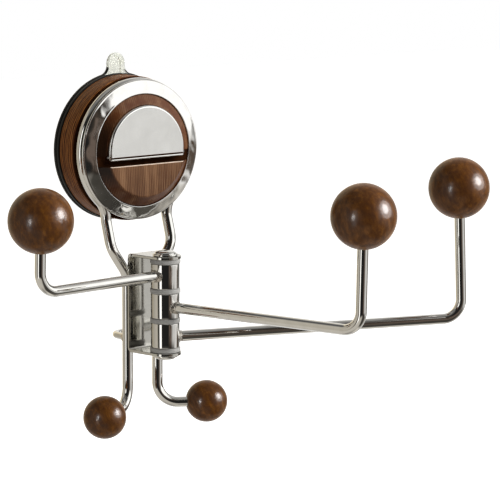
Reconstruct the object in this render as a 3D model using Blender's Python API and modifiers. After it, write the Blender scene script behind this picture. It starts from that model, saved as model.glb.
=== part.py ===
"""Swivel towel rack: a suction lock, a bent wire frame and three swinging arms.

Metres, +Z up. The origin is the centre of the suction pad's wall face, +Y points into
the wall and the front of the rack looks along -Y. Depths are measured from the wall.
"""
import math

import bmesh
import bpy
from mathutils import Matrix, Vector

# Driving dimensions of the whole rack
WIRE_RADIUS = 0.0030
DRUM_RADIUS = 0.0404
DRUM_SHOULDER_DEPTH = 0.0177
BARREL_RADIUS = 0.0080
BARREL_HEIGHT = 0.0139
ARM_BALL_RADIUS = 0.0176
FOOT_BALL_RADIUS = 0.0119

# Each arm: reach to its stem, stem height, direction from +X towards the front, lean of the
# stem away from the pivot, and the rod's height above the middle of its barrel
ARMS = {
    "upper": {"reach": 0.0889, "stem": 0.0388, "heading": 174.4, "lean": -1.4, "offset": 0.0003},
    "middle": {"reach": 0.1272, "stem": 0.0616, "heading": 72.1, "lean": 1.0, "offset": -0.0009},
    "lower": {"reach": 0.1799, "stem": 0.0758, "heading": 18.1, "lean": -2.2, "offset": -0.0015},
}

# Clearances
SEAT_GAP = 0.0003
SLIDE_GAP = 0.0002
STACK_GAP = 0.0001
BEARING_GAP = 0.00006
OVERRUN = 0.0020
MERGE_DISTANCE = 0.000001
CAP_MERGE_DISTANCE = 0.00001

# Fineness of round shapes
TURN_STEPS = 40
SMALL_TURN_STEPS = 20
BARREL_TURN_STEPS = 28
PIN_TURN_STEPS = 12
LOOP_STEPS = 30
BEND_STEP_DEG = 15.0
FILLET_STEPS = 2
BALL_SEGMENTS = 20
BALL_RINGS = 12
SMALL_BALL_SEGMENTS = 16
SMALL_BALL_RINGS = 10
ROD_BEVEL_RESOLUTION = 3
THIN_WIRE_BEVEL_RESOLUTION = 2
SPRING_BEVEL_RESOLUTION = 1
QUARTER_TURN = math.pi / 2
FLAT_ANGLE = math.radians(1.0)
SHARP_ANGLE = math.radians(45.0)

# Suction pad with its pull tab and the collar round the stud's foot
PAD_MARGIN = 0.0011
PAD_THICKNESS = 0.0022
PAD_EDGE_RADIUS = 0.0007
TAB_WIDTH = 0.0116
TAB_LENGTH = 0.0109
TAB_FILLET_RADIUS = 0.0050
TAB_FILLET_STEPS = 6
COLLAR_WALL = 0.0022
COLLAR_HEIGHT = 0.0043

# Backing plate behind the drum
BACKING_RIM_DROP = 0.0005
BACKING_RIM_THICKNESS = 0.0017
BACKING_CENTRE_THICKNESS = 0.0035

# Drum housing
DRUM_WALL = 0.0025
DRUM_DECK_RECESS = 0.0033
DRUM_DECK_THICKNESS = 0.0022
DRUM_EDGE_RADIUS = 0.0006
BOSS_CLEARANCE_TO_LOOP = 0.0005
BOSS_WALL = 0.0064
GUIDE_WALL = 0.0026
GUIDE_LENGTH = 0.0080
GUIDE_SLOT_SPARE = 0.0003

# Housing screws
SCREW_COUNT = 3
SCREW_BOSS_INSET = 0.0015
SCREW_RADIUS = 0.0012
SCREW_LENGTH = 0.0100
SCREW_HEAD_RADIUS = 0.0024
SCREW_HEAD_THICKNESS = 0.0014
SCREW_SOCKET_RADIUS = 0.0010
SCREW_SOCKET_DEPTH = 0.0007
SCREW_BOSS_RADIUS = 0.0034

# Bezel ring
BEZEL_INSET = 0.0009
BEZEL_WIDTH = 0.00765
BEZEL_RIM_THICKNESS = 0.0010
BEZEL_RISE = 0.0034
BEZEL_CROWN = 0.0005
BEZEL_LIP_THICKNESS = 0.0017
BEZEL_FACE_STEPS = 3

# Knob cap
KNOB_FLANGE_INSET = 0.00035
KNOB_FLANGE_THICKNESS = 0.0014
KNOB_CONE_WIDTH = 0.00555
KNOB_HEIGHT = 0.0076
KNOB_COLLAR_HEIGHT = 0.0015
KNOB_EDGE_RADIUS = 0.0012
KNOB_HUB_RADIUS = 0.0120
KNOB_HUB_LENGTH = 0.0024
KNOB_HUB_BORE_DEPTH = 0.0013

# Half-moon grip, its straight edge and the groove below it
GRIP_INSET = 0.0002
GRIP_THICKNESS = 0.0025
GRIP_BEVEL = 0.0010
GRIP_EDGE_DROP = 0.0037
GRIP_ARC_STEPS = 26
GROOVE_BOTTOM_DROP = 0.0074
GROOVE_DEPTH = 0.0049
KNUCKLE_RADIUS = 0.0015
KNUCKLE_LENGTH = 0.0055
HINGE_AXIS_INSET = 0.0020
HINGE_PIN_RADIUS = 0.0006
HINGE_PIN_REACH = 0.0010

# Pull stud, lift nut, thrust washer, guide pin and return spring
STUD_RADIUS = 0.0030
STUD_STROKE = 0.0030
STUD_FOOT_RADIUS = 0.0083
STUD_FOOT_THICKNESS = 0.0016
NUT_WALL = 0.0024
THRUST_WASHER_THICKNESS = 0.0009
THRUST_WASHER_WIDTH = 0.0060
GUIDE_PIN_RADIUS = 0.0010
GUIDE_PIN_OVERHANG = 0.0008
SPRING_WIRE_RADIUS = 0.0006
SPRING_TURNS = 5
SPRING_STEPS_PER_TURN = 10

# Wire frame
LOOP_INSET = 0.0005
NECK_LEAVE_DEG = 45.0
NECK_WIDTH_SHARE = 0.5626
NECK_LENGTH = 0.0166
NECK_FORWARD = 0.0049
NECK_LEAN_GAP = 0.0012
NECK_LEAN_RADIUS = 0.0080
SWEEP_LENGTH = 0.0158
LEG_HALF_WIDTH = 0.01026
LEG_FORWARD = 0.0055
LEG_BELOW_BRACKET = 0.03275
FOOT_REACH = 0.02488
FOOT_FORWARD = 0.01313
NECK_BEND_RADIUS = 0.0140
SWEEP_BEND_RADIUS = 0.0140
FOOT_BEND_RADIUS = 0.0120
BALL_SOCKET_SHORTFALL = 0.0040

# Stand-off wire
STANDOFF_RADIUS = 0.0020
STANDOFF_ABOVE_BRACKET_END = 0.0070
STANDOFF_DEPTH = 0.0119
STANDOFF_BEND_RADIUS = 0.0050

# Pivot bracket
PIVOT_BELOW_LOOP = 0.0194
PIVOT_FORWARD = 0.0217
BRACKET_SHEET = 0.0016
BRACKET_WIDTH = 0.0250
BRACKET_BEND_RADIUS = 0.0010
BRACKET_STRAIGHT = 0.0035
FLANGE_MARGIN = 0.0009
FLANGE_ARC_STEPS = 12

# Pivot stack
PIN_RADIUS = 0.0030
WASHER_THICKNESS = 0.0025
WASHER_MARGIN = 0.0004
WASHER_BORE_GAP = 0.0002
BARREL_EDGE = 0.0003
ROD_SOCKET_DEPTH = 0.0022
BOLT_HEAD_RADIUS = 0.0070
BOLT_HEAD_HEIGHT = 0.0030
BOLT_RIM_HEIGHT = 0.0010
BOLT_DOME_SHARE = 0.8
NUT_HEAD_RADIUS = 0.0072
NUT_SKIN = 0.0010
DOME_STEPS = 3
ARM_BEND_RADIUS = 0.0110

# Radii worked out from the sizes above
PAD_RADIUS = DRUM_RADIUS + PAD_MARGIN
TAB_TIP_DISTANCE = PAD_RADIUS + TAB_LENGTH
LOOP_RADIUS = DRUM_RADIUS - LOOP_INSET - WIRE_RADIUS
BOSS_RADIUS = LOOP_RADIUS - WIRE_RADIUS - BOSS_CLEARANCE_TO_LOOP
BEZEL_RADIUS = LOOP_RADIUS + WIRE_RADIUS - BEZEL_INSET
BEZEL_INNER_RADIUS = BEZEL_RADIUS - BEZEL_WIDTH
KNOB_COLLAR_RADIUS = BEZEL_INNER_RADIUS - SEAT_GAP
KNOB_FLANGE_RADIUS = BOSS_RADIUS - KNOB_FLANGE_INSET
KNOB_FACE_RADIUS = KNOB_COLLAR_RADIUS - KNOB_CONE_WIDTH
GRIP_RADIUS = KNOB_FACE_RADIUS - GRIP_INSET
SCREW_CIRCLE_RADIUS = DRUM_RADIUS - DRUM_WALL - SCREW_BOSS_INSET - SCREW_BOSS_RADIUS
COLLAR_RADIUS = STUD_FOOT_RADIUS + SEAT_GAP + COLLAR_WALL
BACKING_BORE_RADIUS = COLLAR_RADIUS + SEAT_GAP
STUD_BORE_RADIUS = STUD_RADIUS + SLIDE_GAP
GUIDE_RADIUS = STUD_BORE_RADIUS + GUIDE_WALL
NUT_RADIUS = STUD_BORE_RADIUS + NUT_WALL
FLANGE_RADIUS = BARREL_RADIUS + FLANGE_MARGIN
SOCKET_RADIUS = WIRE_RADIUS + SEAT_GAP

# Depths worked out from the wall towards the front
BACKING_BACK = PAD_THICKNESS + SEAT_GAP
BACKING_RIM_FRONT = BACKING_BACK + BACKING_RIM_THICKNESS
BACKING_FRONT = BACKING_BACK + BACKING_CENTRE_THICKNESS
DRUM_BACK = BACKING_RIM_FRONT + SEAT_GAP
LOOP_DEPTH = DRUM_SHOULDER_DEPTH + SEAT_GAP + WIRE_RADIUS
BOSS_FRONT = LOOP_DEPTH + WIRE_RADIUS
DRUM_DECK_DEPTH = BOSS_FRONT - DRUM_DECK_RECESS
DECK_BACK = DRUM_DECK_DEPTH - DRUM_DECK_THICKNESS
GUIDE_BACK = DECK_BACK - GUIDE_LENGTH
BEZEL_BACK = BOSS_FRONT + SEAT_GAP
BEZEL_FRONT = BEZEL_BACK + BEZEL_RISE
KNOB_BACK = BOSS_FRONT + SEAT_GAP
KNOB_FRONT_DEPTH = KNOB_BACK + KNOB_HEIGHT
HUB_BORE_FRONT = KNOB_BACK + KNOB_HUB_BORE_DEPTH
STUD_FOOT_BACK = PAD_THICKNESS + SEAT_GAP + STUD_STROKE
STUD_FOOT_FRONT = STUD_FOOT_BACK + STUD_FOOT_THICKNESS
STUD_FRONT = HUB_BORE_FRONT - SEAT_GAP
GUIDE_SLOT_LENGTH = GUIDE_PIN_RADIUS + SEAT_GAP + STUD_STROKE + GUIDE_SLOT_SPARE
GUIDE_PIN_DEPTH = GUIDE_BACK + GUIDE_SLOT_LENGTH - GUIDE_PIN_RADIUS - SEAT_GAP
THRUST_WASHER_BACK = DRUM_DECK_DEPTH + SLIDE_GAP
NUT_BACK = THRUST_WASHER_BACK + THRUST_WASHER_THICKNESS + SLIDE_GAP
GRIP_BACK = KNOB_FRONT_DEPTH - GRIP_THICKNESS
SEAT_DEPTH = GRIP_BACK - SEAT_GAP
HINGE_DEPTH = KNOB_FRONT_DEPTH - HINGE_AXIS_INSET
NECK_BOTTOM_DEPTH = LOOP_DEPTH + NECK_FORWARD
LEG_DEPTH = LOOP_DEPTH + LEG_FORWARD
FOOT_DEPTH = LEG_DEPTH + FOOT_FORWARD
BRACKET_BACK = LEG_DEPTH + WIRE_RADIUS + SLIDE_GAP
BRACKET_FACE = BRACKET_BACK + BRACKET_SHEET
PIVOT_DEPTH = LEG_DEPTH + PIVOT_FORWARD

# Heights and widths worked out from the loop down
HINGE_DROP = GRIP_EDGE_DROP - KNUCKLE_RADIUS
GROOVE_TOP_DROP = HINGE_DROP - (HINGE_DEPTH - GRIP_BACK) - SEAT_GAP
NECK_HALF_WIDTH = LOOP_RADIUS * NECK_WIDTH_SHARE
NECK_BOTTOM_DROP = LOOP_RADIUS + NECK_LENGTH
LEG_TOP_DROP = NECK_BOTTOM_DROP + SWEEP_LENGTH
STACK_STEP = WASHER_THICKNESS + BARREL_HEIGHT + STACK_GAP + STACK_GAP
STACK_HEIGHT = len(ARMS) * STACK_STEP + WASHER_THICKNESS + STACK_GAP + STACK_GAP
BRACKET_TOP = -LOOP_RADIUS - PIVOT_BELOW_LOOP
BRACKET_BOTTOM = BRACKET_TOP - STACK_HEIGHT - BRACKET_SHEET - BRACKET_SHEET
STANDOFF_DROP = -BRACKET_BOTTOM - STANDOFF_ABOVE_BRACKET_END
FOOT_DROP = -BRACKET_BOTTOM + LEG_BELOW_BRACKET
FOOT_HALF_SPREAD = LEG_HALF_WIDTH + FOOT_REACH

# Colours, roughness and metallic value of each finish
FINISHES = {
    "chrome": ((0.80, 0.79, 0.76), 0.06, 1.0),
    "steel": ((0.62, 0.61, 0.59), 0.25, 1.0),
    "walnut": ((0.13, 0.055, 0.025), 0.30, 0.0),
    "walnut_film": ((0.20, 0.10, 0.06), 0.28, 0.0),
    "clear_rubber": ((0.80, 0.80, 0.76), 0.20, 0.0),
    "black_plastic": ((0.02, 0.02, 0.02), 0.35, 0.0),
    "nylon": ((0.42, 0.42, 0.43), 0.45, 0.0),
    "brass": ((0.70, 0.52, 0.25), 0.30, 1.0),
}


def clear_scene():
    """Remove every object, so that the rack is built in an empty scene."""
    for obj in list(bpy.data.objects):
        bpy.data.objects.remove(obj, do_unlink=True)


def new_collection(name):
    """Add a collection to the scene."""
    collection = bpy.data.collections.new(name)
    bpy.context.scene.collection.children.link(collection)
    return collection


def new_material(name):
    """Make a Principled material from the table of finishes."""
    colour, roughness, metallic = FINISHES[name]
    material = bpy.data.materials.new(name)
    material.use_nodes = True
    shader = material.node_tree.nodes["Principled BSDF"]
    shader.inputs["Base Color"].default_value = (*colour, 1.0)
    shader.inputs["Roughness"].default_value = roughness
    shader.inputs["Metallic"].default_value = metallic
    return material


def add_piece(name, data, finish, parent=None, place=None):
    """Put an object with its own material among the rack's pieces."""
    obj = bpy.data.objects.new(name, data)
    RACK.objects.link(obj)
    material = new_material(finish)
    material.name = f"{name}_{finish}"
    data.materials.clear()
    data.materials.append(material)
    obj.parent = parent
    if place is not None:
        obj.matrix_basis = place
    return obj


def add_cutter(name, data, parent=None, place=None):
    """Put an object among the cutters, which are guides and not pieces."""
    obj = bpy.data.objects.new(name, data)
    CUTTERS.objects.link(obj)
    obj.hide_render = True
    obj.display_type = "WIRE"
    obj.parent = parent
    if place is not None:
        obj.matrix_basis = place
    return obj


def add_empty(name, place):
    """Add an empty that carries a group of pieces on a joint's axis."""
    empty = bpy.data.objects.new(name, None)
    RACK.objects.link(empty)
    empty.matrix_basis = place
    return empty


def facing_front(depth=0.0, drop=0.0):
    """Place for a piece turned about the wall's normal: its own +Z points to the front."""
    return Matrix.Translation((0.0, -depth, -drop)) @ Matrix.Rotation(QUARTER_TURN, 4, "X")


def along_x(x, depth, drop):
    """Place for a piece turned about the X axis: its own +Z points along +X."""
    return Matrix.Translation((x, -depth, -drop)) @ Matrix.Rotation(QUARTER_TURN, 4, "Y")


def boolean(obj, cutter, operation):
    """Join or cut an object with an exact Boolean."""
    modifier = obj.modifiers.new(f"{operation.lower()}_{cutter.name}", "BOOLEAN")
    modifier.operation = operation
    modifier.solver = "EXACT"
    modifier.object = cutter


def rounded_corner(before, corner, after, radius, steps):
    """Points of the arc that replaces a corner between two straight runs."""
    inward = (before - corner).normalized()
    outward = (after - corner).normalized()
    half = inward.angle(outward) / 2
    bisector = (inward + outward).normalized()
    centre = corner + bisector * (radius / math.sin(half))
    start = corner + inward * (radius / math.tan(half)) - centre
    end = corner + outward * (radius / math.tan(half)) - centre
    axis = start.cross(end).normalized()
    turn = start.angle(end)
    return [centre + Matrix.Rotation(turn * i / steps, 3, axis) @ start for i in range(steps + 1)]


def bent_path(corners):
    """Path through corners given as (point, radius), with round bends."""
    points = [Vector(corners[0][0])]
    for (before, _), (corner, radius), (after, _) in zip(corners, corners[1:], corners[2:]):
        before, corner, after = Vector(before), Vector(corner), Vector(after)
        turn = math.degrees((corner - before).angle(after - corner))
        steps = max(2, math.ceil(turn / BEND_STEP_DEG))
        points += rounded_corner(before, corner, after, radius, steps)
    points.append(Vector(corners[-1][0]))
    return points


def filleted(profile):
    """Flat profile from (x, y) or (x, y, radius) points, with its radii rounded."""
    points = []
    for index, entry in enumerate(profile):
        corner = Vector((entry[0], entry[1], 0.0))
        if len(entry) < 3:
            points.append(corner)
            continue
        before = Vector((*profile[index - 1][:2], 0.0))
        after = Vector((*profile[(index + 1) % len(profile)][:2], 0.0))
        points += rounded_corner(before, corner, after, entry[2], FILLET_STEPS)
    return points


def profile_mesh(name, profile, closed):
    """Edges of a turned profile: x is the radius and y the height."""
    points = filleted(profile)
    mesh = bpy.data.meshes.new(name)
    work = bmesh.new()
    verts = [work.verts.new((p.x, 0.0, p.y)) for p in points]
    for first, second in zip(verts, verts[1:]):
        work.edges.new((first, second))
    if closed:
        work.edges.new((verts[-1], verts[0]))
    work.to_mesh(mesh)
    work.free()
    return mesh


def turn(obj, steps):
    """Turn a profile about its own Z axis."""
    screw = obj.modifiers.new("turned", "SCREW")
    screw.steps = steps
    screw.render_steps = steps
    screw.use_merge_vertices = True
    screw.merge_threshold = MERGE_DISTANCE
    screw.use_smooth_shade = True


def turned_piece(name, profile, closed, finish, steps=TURN_STEPS, parent=None, place=None):
    """A turned piece; its profile runs down the outer side, top to bottom."""
    obj = add_piece(name, profile_mesh(name, profile, closed), finish, parent, place)
    turn(obj, steps)
    return obj


def turned_cutter(name, profile, steps=SMALL_TURN_STEPS, parent=None, place=None):
    """A turned cutter whose profile starts and ends on its axis."""
    obj = add_cutter(name, profile_mesh(name, profile, False), parent, place)
    turn(obj, steps)
    return obj


def rod_profile(radius, bottom, top):
    """Profile of a plain cylinder."""
    return [(0.0, top), (radius, top), (radius, bottom), (0.0, bottom)]


def ring_profile(inner, outer, bottom, top):
    """Closed profile of a plain ring."""
    return [(outer, top), (outer, bottom), (inner, bottom), (inner, top)]


def dome_points(radius, base, height):
    """Points of a dome's outline, from its crown on the axis down to its rim."""
    angles = [QUARTER_TURN * i / DOME_STEPS for i in range(DOME_STEPS + 1)]
    return [(radius * math.sin(a), base + height * math.cos(a)) for a in angles]


def box_cutter(name, low, high, parent=None, place=None):
    """A box-shaped cutter between two corners."""
    mesh = bpy.data.meshes.new(name)
    work = bmesh.new()
    bmesh.ops.create_cube(work, size=1.0)
    low, high = Vector(low), Vector(high)
    size = high - low
    bmesh.ops.scale(work, vec=size, verts=work.verts)
    bmesh.ops.translate(work, vec=(low + high) / 2, verts=work.verts)
    work.to_mesh(mesh)
    work.free()
    return add_cutter(name, mesh, parent, place)


def wire_curve(name, points, radius, resolution):
    """Curve data of a round wire along a list of points."""
    curve = bpy.data.curves.new(name, "CURVE")
    curve.dimensions = "3D"
    curve.bevel_depth = radius
    curve.bevel_resolution = resolution
    curve.use_fill_caps = True
    spline = curve.splines.new("POLY")
    spline.points.add(len(points) - 1)
    for target, point in zip(spline.points, points):
        target.co = (*point, 1.0)
    return curve


def wire_piece(name, points, radius, finish, resolution=ROD_BEVEL_RESOLUTION, parent=None):
    """A round wire bent along a path, with its caps welded."""
    obj = add_piece(name, wire_curve(name, points, radius, resolution), finish, parent)
    weld = obj.modifiers.new("welded_caps", "WELD")
    weld.merge_threshold = CAP_MERGE_DISTANCE
    return obj


def flat_mesh(name, outline, thickness):
    """Closed mesh of a flat outline, as thick as asked, centred on its own plane."""
    curve = bpy.data.curves.new(f"{name}_outline", "CURVE")
    curve.dimensions = "2D"
    curve.fill_mode = "BOTH"
    curve.extrude = thickness / 2
    spline = curve.splines.new("POLY")
    spline.points.add(len(outline) - 1)
    for target, point in zip(spline.points, outline):
        target.co = (point[0], point[1], 0.0, 1.0)
    spline.use_cyclic_u = True
    holder = bpy.data.objects.new(f"{name}_outline", curve)
    CUTTERS.objects.link(holder)
    graph = bpy.context.evaluated_depsgraph_get()
    mesh = bpy.data.meshes.new_from_object(holder.evaluated_get(graph))
    mesh.name = name
    bpy.data.objects.remove(holder, do_unlink=True)
    work = bmesh.new()
    work.from_mesh(mesh)
    bmesh.ops.remove_doubles(work, verts=work.verts, dist=MERGE_DISTANCE)
    bmesh.ops.dissolve_limit(work, angle_limit=FLAT_ANGLE, verts=work.verts, edges=work.edges)
    bmesh.ops.recalc_face_normals(work, faces=work.faces)
    work.to_mesh(mesh)
    work.free()
    return mesh


def ball_mesh(name, radius, segments, rings):
    """Mesh of a ball, with its poles on its own Z axis."""
    mesh = bpy.data.meshes.new(name)
    work = bmesh.new()
    bmesh.ops.create_uvsphere(work, u_segments=segments, v_segments=rings, radius=radius)
    work.to_mesh(mesh)
    work.free()
    mesh.shade_smooth()
    return mesh


def tab_outline():
    """Outline of the pad: a circle with a round-ended tab and two fillets at its foot."""
    half = TAB_WIDTH / 2
    fillet_x = half + TAB_FILLET_RADIUS
    reach = PAD_RADIUS + TAB_FILLET_RADIUS
    fillet_y = math.sqrt(reach ** 2 - fillet_x ** 2)
    lean = math.atan2(fillet_x, fillet_y)
    sweep = math.tau - lean - lean
    rim = [lean + sweep * i / TURN_STEPS for i in range(TURN_STEPS + 1)]
    points = [(PAD_RADIUS * math.sin(a), PAD_RADIUS * math.cos(a)) for a in rim]
    turn_in = QUARTER_TURN - lean
    left = [turn_in * i / TAB_FILLET_STEPS for i in range(1, TAB_FILLET_STEPS + 1)]
    points += [(-fillet_x + TAB_FILLET_RADIUS * math.sin(lean + a),
                fillet_y - TAB_FILLET_RADIUS * math.cos(lean + a)) for a in left]
    tip_y = TAB_TIP_DISTANCE - half
    tip = [math.pi * (1 - i / TAB_FILLET_STEPS) for i in range(TAB_FILLET_STEPS + 1)]
    points += [(half * math.cos(a), tip_y + half * math.sin(a)) for a in tip]
    points += [(fillet_x - TAB_FILLET_RADIUS * math.sin(lean + a),
                fillet_y - TAB_FILLET_RADIUS * math.cos(lean + a)) for a in reversed(left)]
    return points


def make_pad():
    """Clear suction pad: a flat disc with a pull tab and a collar for the stud's foot."""
    mesh = flat_mesh("suction_pad", tab_outline(), PAD_THICKNESS)
    pad = add_piece("suction_pad", mesh, "clear_rubber", place=facing_front(PAD_THICKNESS / 2))
    edge = pad.modifiers.new("soft_rim", "BEVEL")
    edge.width = PAD_EDGE_RADIUS
    edge.segments = 2
    edge.limit_method = "ANGLE"
    edge.angle_limit = SHARP_ANGLE
    inner = COLLAR_RADIUS - COLLAR_WALL
    low = PAD_THICKNESS / 2
    profile = ring_profile(inner, COLLAR_RADIUS, low, PAD_THICKNESS + COLLAR_HEIGHT)
    mesh = profile_mesh("pad_collar", profile, True)
    collar = add_cutter("pad_collar", mesh, place=facing_front())
    turn(collar, SMALL_TURN_STEPS)
    boolean(pad, collar, "UNION")


def screw_places():
    """Bearing of each housing screw about the drum's axis."""
    return [math.tau * i / SCREW_COUNT + QUARTER_TURN for i in range(SCREW_COUNT)]


def screw_place(bearing, depth=0.0):
    """Place on the circle of the housing screws, with +Z to the front."""
    x = SCREW_CIRCLE_RADIUS * math.cos(bearing)
    z = SCREW_CIRCLE_RADIUS * math.sin(bearing)
    return Matrix.Translation((x, 0.0, z)) @ facing_front(depth)


def make_backing():
    """Black backing plate that presses the pad's rim, with counterbored screw holes."""
    centre_radius = DRUM_RADIUS - DRUM_WALL - SEAT_GAP
    outer = PAD_RADIUS - BACKING_RIM_DROP
    profile = [
        (centre_radius, BACKING_FRONT),
        (centre_radius, BACKING_RIM_FRONT),
        (outer, BACKING_RIM_FRONT),
        (outer, BACKING_BACK),
        (BACKING_BORE_RADIUS, BACKING_BACK),
        (BACKING_BORE_RADIUS, BACKING_FRONT),
    ]
    plate = turned_piece("backing_plate", profile, True, "black_plastic", place=facing_front())
    counterbore = SCREW_HEAD_RADIUS + SEAT_GAP
    seat = BACKING_BACK + SCREW_HEAD_THICKNESS + SEAT_GAP
    hole = SCREW_RADIUS + SLIDE_GAP
    top = BACKING_FRONT + OVERRUN
    bottom = BACKING_BACK - OVERRUN
    cut = [
        (0.0, top),
        (hole, top),
        (hole, seat),
        (counterbore, seat),
        (counterbore, bottom),
        (0.0, bottom),
    ]
    for index, bearing in enumerate(screw_places(), start=1):
        cutter = turned_cutter(f"backing_hole_{index}", cut, PIN_TURN_STEPS,
                               place=screw_place(bearing))
        boolean(plate, cutter, "DIFFERENCE")


def drum_profile():
    """Closed section of the drum: outer wall, shoulder, boss, deck and guide tube."""
    inner = DRUM_RADIUS - DRUM_WALL
    boss_inner = BOSS_RADIUS - BOSS_WALL
    cavity = BOSS_RADIUS - DRUM_WALL
    ceiling = DRUM_SHOULDER_DEPTH - DRUM_WALL
    return [
        (BOSS_RADIUS, BOSS_FRONT),
        (BOSS_RADIUS, DRUM_SHOULDER_DEPTH),
        (DRUM_RADIUS, DRUM_SHOULDER_DEPTH, DRUM_EDGE_RADIUS),
        (DRUM_RADIUS, DRUM_BACK, DRUM_EDGE_RADIUS),
        (inner, DRUM_BACK),
        (inner, ceiling),
        (cavity, ceiling),
        (cavity, DECK_BACK),
        (GUIDE_RADIUS, DECK_BACK),
        (GUIDE_RADIUS, GUIDE_BACK),
        (STUD_BORE_RADIUS, GUIDE_BACK),
        (STUD_BORE_RADIUS, DRUM_DECK_DEPTH),
        (boss_inner, DRUM_DECK_DEPTH),
        (boss_inner, BOSS_FRONT),
    ]


def make_drum():
    """Wood-look drum housing with screw bosses and slots for the guide pin."""
    drum = turned_piece("drum_housing", drum_profile(), True, "walnut_film",
                        place=facing_front())
    boss_back = BACKING_FRONT + SEAT_GAP
    boss_front = DRUM_SHOULDER_DEPTH - DRUM_WALL / 2
    hole_front = BACKING_BACK + SCREW_LENGTH + SCREW_HEAD_THICKNESS
    boss = rod_profile(SCREW_BOSS_RADIUS, boss_back, boss_front)
    hole = rod_profile(SCREW_RADIUS + SLIDE_GAP, boss_back - OVERRUN, hole_front)
    for index, bearing in enumerate(screw_places(), start=1):
        cutter = turned_cutter(f"drum_boss_{index}", boss, PIN_TURN_STEPS,
                               place=screw_place(bearing))
        boolean(drum, cutter, "UNION")
    for index, bearing in enumerate(screw_places(), start=1):
        cutter = turned_cutter(f"drum_hole_{index}", hole, PIN_TURN_STEPS,
                               place=screw_place(bearing))
        boolean(drum, cutter, "DIFFERENCE")
    reach = GUIDE_RADIUS + SEAT_GAP
    half = GUIDE_PIN_RADIUS + SEAT_GAP
    slot = box_cutter("guide_slot", (-reach, -half, GUIDE_BACK - OVERRUN),
                      (reach, half, GUIDE_BACK + GUIDE_SLOT_LENGTH), place=facing_front())
    boolean(drum, slot, "DIFFERENCE")


def make_screws():
    """Pan-head screws that hold the backing plate to the drum."""
    head_back = BACKING_BACK + SLIDE_GAP
    head_front = head_back + SCREW_HEAD_THICKNESS - SLIDE_GAP
    tip = BACKING_BACK + SCREW_LENGTH
    socket = head_back + SCREW_SOCKET_DEPTH
    profile = [
        (0.0, tip),
        (SCREW_RADIUS, tip),
        (SCREW_RADIUS, head_front),
        (SCREW_HEAD_RADIUS, head_front),
        (SCREW_HEAD_RADIUS, head_back),
        (SCREW_SOCKET_RADIUS, head_back),
        (SCREW_SOCKET_RADIUS, socket),
        (0.0, socket),
    ]
    for index, bearing in enumerate(screw_places(), start=1):
        turned_piece(f"housing_screw_{index}", profile, False, "steel", PIN_TURN_STEPS,
                     place=screw_place(bearing))


def make_bezel():
    """Chrome ring with a crowned, sloping face and a recess over the knob's flange."""
    recess_radius = KNOB_FLANGE_RADIUS + SEAT_GAP
    recess_front = BEZEL_FRONT - BEZEL_LIP_THICKNESS
    rim_front = BEZEL_BACK + BEZEL_RIM_THICKNESS
    face = []
    for i in range(BEZEL_FACE_STEPS + 1):
        share = i / BEZEL_FACE_STEPS
        radius = BEZEL_INNER_RADIUS + (BEZEL_RADIUS - BEZEL_INNER_RADIUS) * share
        flat = BEZEL_FRONT + (rim_front - BEZEL_FRONT) * share
        face.append((radius, flat + BEZEL_CROWN * math.sin(math.pi * share)))
    profile = face + [
        (BEZEL_RADIUS, BEZEL_BACK),
        (recess_radius, BEZEL_BACK),
        (recess_radius, recess_front),
        (BEZEL_INNER_RADIUS, recess_front),
    ]
    turned_piece("bezel_ring", profile, True, "chrome", place=facing_front())


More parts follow.
